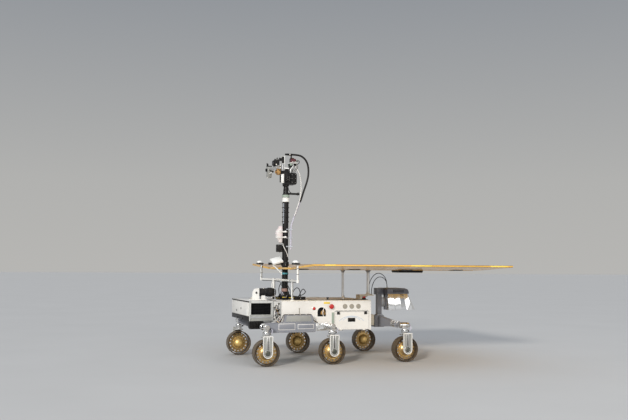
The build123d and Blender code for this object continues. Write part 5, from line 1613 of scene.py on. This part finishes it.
# -------------------------------------------------------------- antennas
dress("antenna_frame", "radome", 0)
pc = Piece("antenna_fittings")
ANT, INN, BAR_Z = (444.0, 720.0), (390.0, 368.0), 905.0
for s in (1, -1):
    y = ANT[1] * s
    pc.box(425.4, 500.6, y - 38.6, y + 38.6, 1083.4, 1104.6, "black", 3)
    pc.ring(Vector((470, y, 1104)), UP, 36, 40, 3, "black", 44, 1)
    for x in (432, 494):
        for dy in (-32, 32):
            pc.screw(Vector((x, y + dy, 1104.6)), UP, 2.2, 1.2)
    pc.cyl((ANT[0], y, 1070), (ANT[0], y, 1084), 13.5, "radome", 28, 1.5)
    # tee at the post's foot and collar on the deck post
    pc.cyl((ANT[0], y, 889), (ANT[0], y, 921), 14, "radome", 28, 2)
    pc.cyl((INN[0], INN[1] * s, 889), (INN[0], INN[1] * s, 920), 14, "radome", 28, 2)
    pc.cyl((INN[0], INN[1] * s, DECK_Z + 8), (INN[0], INN[1] * s, DECK_Z + 26), 15, "alu", 32, 1.5)
    for k in range(4):
        t = math.pi / 4 + k * math.pi / 2
        pc.screw(Vector((INN[0] + 19 * math.cos(t), INN[1] * s + 19 * math.sin(t), DECK_Z + 8)), UP, 2.4, 1.6)
    # antenna lead strapped along the post, under the bar and down the deck post
    pc.tube([(ANT[0] - 6, y - 14 * s, 1082), (ANT[0] - 2, y - 15 * s, 1060), (ANT[0], y - 14 * s, 980), (ANT[0] - 1, y - 16 * s, 905), (ANT[0] - 4, y - 36 * s, 891), (ANT[0] - 16, y - 120 * s, 890),
             (INN[0] + 3, INN[1] * s + 26 * s, 890), (INN[0], INN[1] * s + 14 * s, 876), (INN[0], INN[1] * s + 14 * s, 720)], 3.0, "rubber", 6)
    for z in (1040, 980):
        pc.ring(Vector((ANT[0], y, z)), UP, 11, 13, 5, "plastic", 20)
# lead under the bar, slack between the ring clamp and the deck
pc.tube([(388, 330, 890), (388, 250, 888), (386, 170, 886), (376, 110, 872), (352, 92, 840), (330, 96, 790), (330, 108, 740), (330, 130, 716)], 4.0, "rubber", 8)
pc.tube([(389, -330, 890), (389, -200, 888), (388, -110, 880), (372, -84, 830), (360, -92, 760), (362, -98, 712)], 3.4, "rubber", 8)
for y in (-300, -200, -120, 120, 200, 300):
    pc.ring(Vector((390, y - 3, BAR_Z)), (0, 1, 0), 11, 12.6, 6, "plastic", 20)
pc.make("root", angle=34)

# flat antenna: white plate leaning forward and left, black arm and clamp, pale strut
pc = Piece("panel_antenna_detail")
MP = Matrix.Translation(Vector((466, 0, 1130))) @ Matrix.Rotation(math.radians(14), 4, "Y") @ Matrix.Rotation(math.radians(-30), 4, "X")
pc.box(-64, 64, -54, 54, -13, 13, "radome", 5, MP)
pc.box(-52, 52, -42, 42, -16, -12.5, "radome", 2, MP)
for x in (-46, 46):
    for y in (-36, 36):
        pc.screw(MP @ Vector((x, y, -16)), MP.to_3x3() @ Vector((0, 0, -1)), 2.6, 1.6)
pc.cyl(MP @ Vector((16, 0, -30)), MP @ Vector((16, 0, -12)), 14, "black", 28, 2)
pc.box(MAST_X + 38, 560, -14, 14, 1084, 1104, "black", 3)
pc.box(540, 562, -17, 17, 1081, 1108, "black", 3)
pc.ring(Vector((MAST_X, 0, 1070)), UP, MAST_R + 0.05, 45, 46, "black", 48, 2.5)
for s in (1, -1):
    pc.box(MAST_X - 9, MAST_X + 9, 40 * s, 51 * s, 1076, 1110, "black", 2)
    for z in (1083, 1103):
        pc.bolt(Vector((MAST_X + 9, 47 * s, z)), (1, 0, 0), 3, 3)
pc.cyl((MAST_X + 30, 0, 976), (514, 0, 1088), 7.5, "radome", 28, 1)
pc.ring(Vector((MAST_X, 0, 972)), UP, MAST_R + 0.05, 39, 22, "black", 44, 1.2)
pc.ring(Vector((MAST_X, 0, 974)), UP, 38.6, 40.2, 18, "teal", 44, 0.6)
pc.box(390, 410, -9, 9, 966, 1000, "radome", 3)
pc.bolt(Vector((402, 9, 984)), AY, 3, 3)
pc.make("root", replaces=("panel_antenna",), angle=34)


# ----------------------------------------------------------------- array
for nm in ("array_centre_panel", "array_left_wing", "array_right_wing"):
    dress(nm, "amber", 1.5)
dress("array_brackets", "black", 1.5)
dress("array_posts", "alu", 1.0)
pc = Piece("array_fittings")


def wing_z(y, top=False):
    t = max(0.0, (abs(y) - 456) / (ARRAY_Y - 456))
    return ARRAY_Z + WING_RISE * t + (ARRAY_T if top else 0)


# yellow edge strips along the long sides and the hinge lines
for s in (1, -1):
    z = wing_z(1200)
    pc.box(X_TAIL + 1, ARRAY_X1 - 1, 1196 * s, 1202 * s, z + 2, z + ARRAY_T - 1.5, "amber_edge", 0.6)
    # dark bronze strips at the foot and top of the edge; the one at the foot is painted shade of the edge's underside
    for za, zb in ((z - 1, z + 2), (z + ARRAY_T - 1.5, z + ARRAY_T + 1.5)):
        pc.box(X_TAIL + 1, ARRAY_X1 - 1, 1195 * s, 1202.6 * s, za, zb, "bronze_dark", 0.6)
    # lengths of the edge painted brighter: a painted sun highlight
    for xa, xb in ((187, 308), (-917, -672), (-1860, -1640)):
        pc.box(xa, xb, 1200 * s, 1203 * s, z + 1.6, z + ARRAY_T - 1, "amber_painted_highlight", 0.5)
    pc.box(X_TAIL + 1, ARRAY_X1 - 1, 447 * s, 450.5 * s, ARRAY_Z - 1, ARRAY_Z + ARRAY_T + 1.2, "amber_edge", 1)
    pc.box(X_TAIL + 1, ARRAY_X1 - 1, 455.5 * s, 459 * s, ARRAY_Z - 1, ARRAY_Z + ARRAY_T + 1.4, "amber_edge", 1)
    # screws in rows across the wings
    for x in (-1700, -1150, -600, -60, 300):
        for y in range(500, 1180, 90):
            pc.screw(Vector((x, y * s, wing_z(y, True))), (0, 0, 1), 2.8, 1.4)
    # piano hinge barrels
    for i in range(28):
        x = X_TAIL + 40 + i * 84
        pc.cyl((x, 453 * s, ARRAY_Z + ARRAY_T + 1), (x + 60, 453 * s, ARRAY_Z + ARRAY_T + 1), 3.2, "nickel", 12, 0.4)
for y in (-360, 0, 360):
    if y == 0:
        pc.box(X_TAIL + 20, 300, -12, 12, ARRAY_Z - 5, ARRAY_Z, "bronze", 1.5)
    else:
        pc.box(X_TAIL + 20, 420, y - 12, y + 12, ARRAY_Z - 5, ARRAY_Z, "bronze", 1.5)
for x in (-1800, -1350, -560, -150, 200):
    pc.box(x - 10, x + 10, -380, 380, ARRAY_Z - 5, ARRAY_Z, "bronze", 1.2)
# end rails, front and back
for s in (1, -1):
    for x0, x1 in ((X_TAIL - 0.5, X_TAIL + 4), (ARRAY_X1 - 4, ARRAY_X1 + 1.5)):
        pts = [(460 * s, wing_z(460) - 1), (1198 * s, wing_z(1198) - 1), (1198 * s, wing_z(1198, True) + 1.2), (460 * s, wing_z(460, True) + 1.2)]
        pc.prism(pts, "yz", x0, x1, "amber_edge", 1)
pc.box(X_TAIL - 0.5, X_TAIL + 4, -447, 447, ARRAY_Z - 1, ARRAY_Z + ARRAY_T + 1.2, "amber_edge", 1)
for y0, y1 in ((-447, -54), (54, 447)):
    pc.box(ARRAY_X1 - 4, ARRAY_X1 + 1.5, y0, y1, ARRAY_Z - 1, ARRAY_Z + ARRAY_T + 1.2, "amber_edge", 1)
# dark instrument box's lid and ribs
pc.box(-1246, -944, 124, 326, 1002, 1009, "black", 1.5)
for i in range(8):
    pc.box(-1235 + i * 36, -1215 + i * 36, 330, 333, 1012, 1030, "black", 1)
# flared heads and feet on the posts
for x, zb, r in ((-358, DECK_Z, 14), (-684, 735, 18)):
    pc.spin([(0, r), (8, r + 2), (30, r + 18), (36, r + 20), (38, r + 20)], Vector((x, 0, ARRAY_Z - 38)), UP, "alu_grey", 36)
    pc.spin([(0, r + 16), (5, r + 15), (9, r + 3), (30, r + 1), (32, r)], Vector((x, 0, zb)), UP, "radome", 36)
    for k in range(4):
        t = math.pi / 4 + k * math.pi / 2
        pc.screw(Vector((x + (r + 10) * math.cos(t), (r + 10) * math.sin(t), zb + 5)), UP, 2.4, 1.6)
pc.make("root", angle=34)


# ------------------------------------------------------------------ rear
dress("rear_post", "blue", 1.6)
pc = Piece("rear_fittings")
for z in range(510, 720, 34):
    for y in (-20, 20):
        pc.screw(Vector((-853, y, z)), BX, 2.6, 1.5)
        pc.screw(Vector((-797, y, z)), (1, 0, 0), 2.6, 1.5)
pc.box(-871.5, -776.5, -45.5, 45.5, 738, 811, "darkblue", 4)
for y in (-36, 36):
    for z in (748, 801):
        pc.screw(Vector((-776.5, y, z)), (1, 0, 0), 2.6, 1.5)
for x in (-860, -788):
    for z in (748, 801):
        pc.screw(Vector((x, 45.5, z)), AY, 2.6, 1.5)
        pc.screw(Vector((x, -45.5, z)), RY, 2.6, 1.5)
# flange on the post's foot
pc.box(-862, -788, -40, 40, 489, 499, "alu_grey", 2)
pc.make("root", angle=34)

# hood: folded mirror-bright sheet with turned-in rims
HOOD_SIDE = [(-878, 150, -878, 172), (-944, 166, -954, 190), (-956, 150, -968, 172), (-1020, 162, -1042, 186),
             (-1086, 142, -1120, 164), (-1132, 152, -1194, 174), (-1165, 108, -1246, 120)]
plan = [(p, -q, r, -t) for p, q, r, t in reversed(HOOD_SIDE)] + HOOD_SIDE
pc = Piece("rear_hood_detail")
bm = bmesh.new()
lo = [bm.verts.new((r, t, 556)) for p, q, r, t in plan]
hi = [bm.verts.new((p, q, 745)) for p, q, r, t in plan]
bm.faces.new(lo)
bm.faces.new(hi)
for i in range(len(plan)):
    j = (i + 1) % len(plan)
    bm.faces.new([lo[i], lo[j], hi[j], hi[i]])
bmesh.ops.recalc_face_normals(bm, faces=list(bm.faces))
bmesh.ops.bevel(bm, geom=list(bm.edges), offset=2.2, segments=2, profile=0.5, affect="EDGES", clamp_overlap=True)
pc._take(bm, "foil")
pc.box(-880, -853, -26, 26, 590, 700, "alu_grey", 2)
# riveted bottom rim
for s in (1, -1):
    for k in range(11):
        x = -900 - k * 28
        i = max(j for j in range(len(HOOD_SIDE) - 1) if HOOD_SIDE[j][2] >= x)
        x0, y0, x1, y1 = HOOD_SIDE[i][2], HOOD_SIDE[i][3], HOOD_SIDE[i + 1][2], HOOD_SIDE[i + 1][3]
        f = (x - x0) / (x1 - x0)
        pc.screw(Vector((x, (y0 + (y1 - y0) * f - 1.0) * s, 566)), (0, s, 0.1), 2.4, 1.2)
pc.make("root", replaces=("rear_hood",), angle=24)

pc = Piece("hood_cap_detail")
pc.prism([(-874, 745), (-874, 811), (-1112, 811), (-1146, 799), (-1160, 772), (-1160, 745)], "xz", -140, 140, "darkblue", 5)
pc.box(-1108, -879, -135, 135, 810, 813, "darkblue", 1)
for x in range(-1096, -880, 43):
    for y in (-128, 128):
        pc.screw(Vector((x, y, 813)), UP, 2.8, 1.5)
for y in range(-90, 100, 45):
    pc.screw(Vector((-886, y, 813)), UP, 2.8, 1.5)
for s in (1, -1):
    pc.box(-1092, -940, 140 * s, 142 * s, 760, 798, "darkblue", 1)
    for i in range(9):
        pc.box(-1086 + i * 16, -1078 + i * 16, 142 * s, 144 * s, 764, 794, "black", 0.5)
    # seam strap along the foot of the cap
    pc.box(-1150, -880, 139 * s, 143 * s, 746, 754, "blue", 1)
for x, y in ((-900, 76), (-976, -94)):
    pc.cyl((x, y, 809), (x, y, 820), 9, "nickel", 20, 1)
for x, y in ((-712, 40), (-712, -50)):
    pc.cyl((x, y, 734), (x, y, 746), 9, "nickel", 20, 1)
pc.make("root", replaces=("rear_hood_cap",), angle=34)


# -------------------------------------------------------- floor and light
fl = bpy.data.meshes.new("studio_floor")
fl.from_pydata([(-90, -90, 0), (90, -90, 0), (90, 90, 0), (-90, 90, 0)], [], [(0, 1, 2, 3)])
floor = bpy.data.objects.new("studio_floor", fl)
bpy.context.scene.collection.objects.link(floor)
fm, nt, bs = new_mat("floor_pale")
tc = nt.nodes.new("ShaderNodeTexCoord").outputs["Object"]
nt.links.new(ramp(nt, noise(nt, tc, 0.8, 3.0), [(0.2, (0.56, 0.55, 0.53)), (0.8, (0.59, 0.58, 0.56))]), bs.inputs["Base Color"])
bs.inputs["Roughness"].default_value = 0.9
fl.materials.append(fm)

# soft dome: even at the horizon, brighter overhead
world = bpy.data.worlds.new("studio_world")
bpy.context.scene.world = world
world.use_nodes = True
wt = world.node_tree
bg = wt.nodes["Background"]
co = wt.nodes.new("ShaderNodeTexCoord")
sp = wt.nodes.new("ShaderNodeSeparateXYZ")
wt.links.new(co.outputs["Generated"], sp.inputs[0])
base = ramp(wt, sp.outputs["Z"], [(0.0, (0.47, 0.465, 0.45)), (0.10, (0.44, 0.44, 0.43)), (0.36, (0.26, 0.28, 0.31)), (1.0, (0.74, 0.80, 0.90))])
wt.links.new(base, bg.inputs["Color"])
bg.inputs["Strength"].default_value = 1.0

# large soft light on the left side
soft_data = bpy.data.lights.new("soft_light", "AREA")
soft_data.shape = "RECTANGLE"
soft_data.size = 16.0
soft_data.size_y = 7.4
soft_data.energy = 700.0
soft_data.color = (1.0, 0.985, 0.95)
soft_light = bpy.data.objects.new("soft_light", soft_data)
bpy.context.scene.collection.objects.link(soft_light)
soft_light.location = (-1.0, 15.0, 5.4)
soft_light.rotation_euler = (-Vector((-0.06, 0.95, 0.30))).to_track_quat("-Z", "Y").to_euler()
soft_light.visible_camera = False

sun_data = bpy.data.lights.new("key_sun", "SUN")
sun_data.energy = 2.3
sun_data.angle = math.radians(7)
sun_data.color = (1.0, 0.965, 0.91)
sun = bpy.data.objects.new("key_sun", sun_data)
bpy.context.scene.collection.objects.link(sun)
sun.location = (5, 6, 7)
sun.rotation_euler = (-Vector((0.62, 0.74, 0.34))).to_track_quat("-Z", "Y").to_euler()
bpy.context.scene.view_settings.view_transform = "Standard"
bpy.context.scene.view_settings.look = "None"

# ---------------------------------------------------------------- camera
cam_data = bpy.data.cameras.new("photo_camera")
cam_data.lens = 46.63
cam_data.sensor_width = 36.0
cam_data.sensor_fit = "HORIZONTAL"
cam_data.clip_end = 200
cam = bpy.data.objects.new("photo_camera", cam_data)
bpy.context.scene.collection.objects.link(cam)
yaw, pitch, roll = math.radians(-109.31), math.radians(3.86), math.radians(0.46)
f = Vector((math.cos(pitch) * math.cos(yaw), math.cos(pitch) * math.sin(yaw), math.sin(pitch)))
right = f.cross(Vector((0, 0, 1))).normalized()
up = right.cross(f)
r2 = right * math.cos(roll) + up * math.sin(roll)
u2 = up * math.cos(roll) - right * math.sin(roll)
loc = Vector((3.183 + X0 / 1000, 9.051, 1.085))
cam.matrix_world = Matrix(((r2.x, u2.x, -f.x, loc.x), (r2.y, u2.y, -f.y, loc.y), (r2.z, u2.z, -f.z, loc.z), (0, 0, 0, 1)))
bpy.context.scene.camera = cam
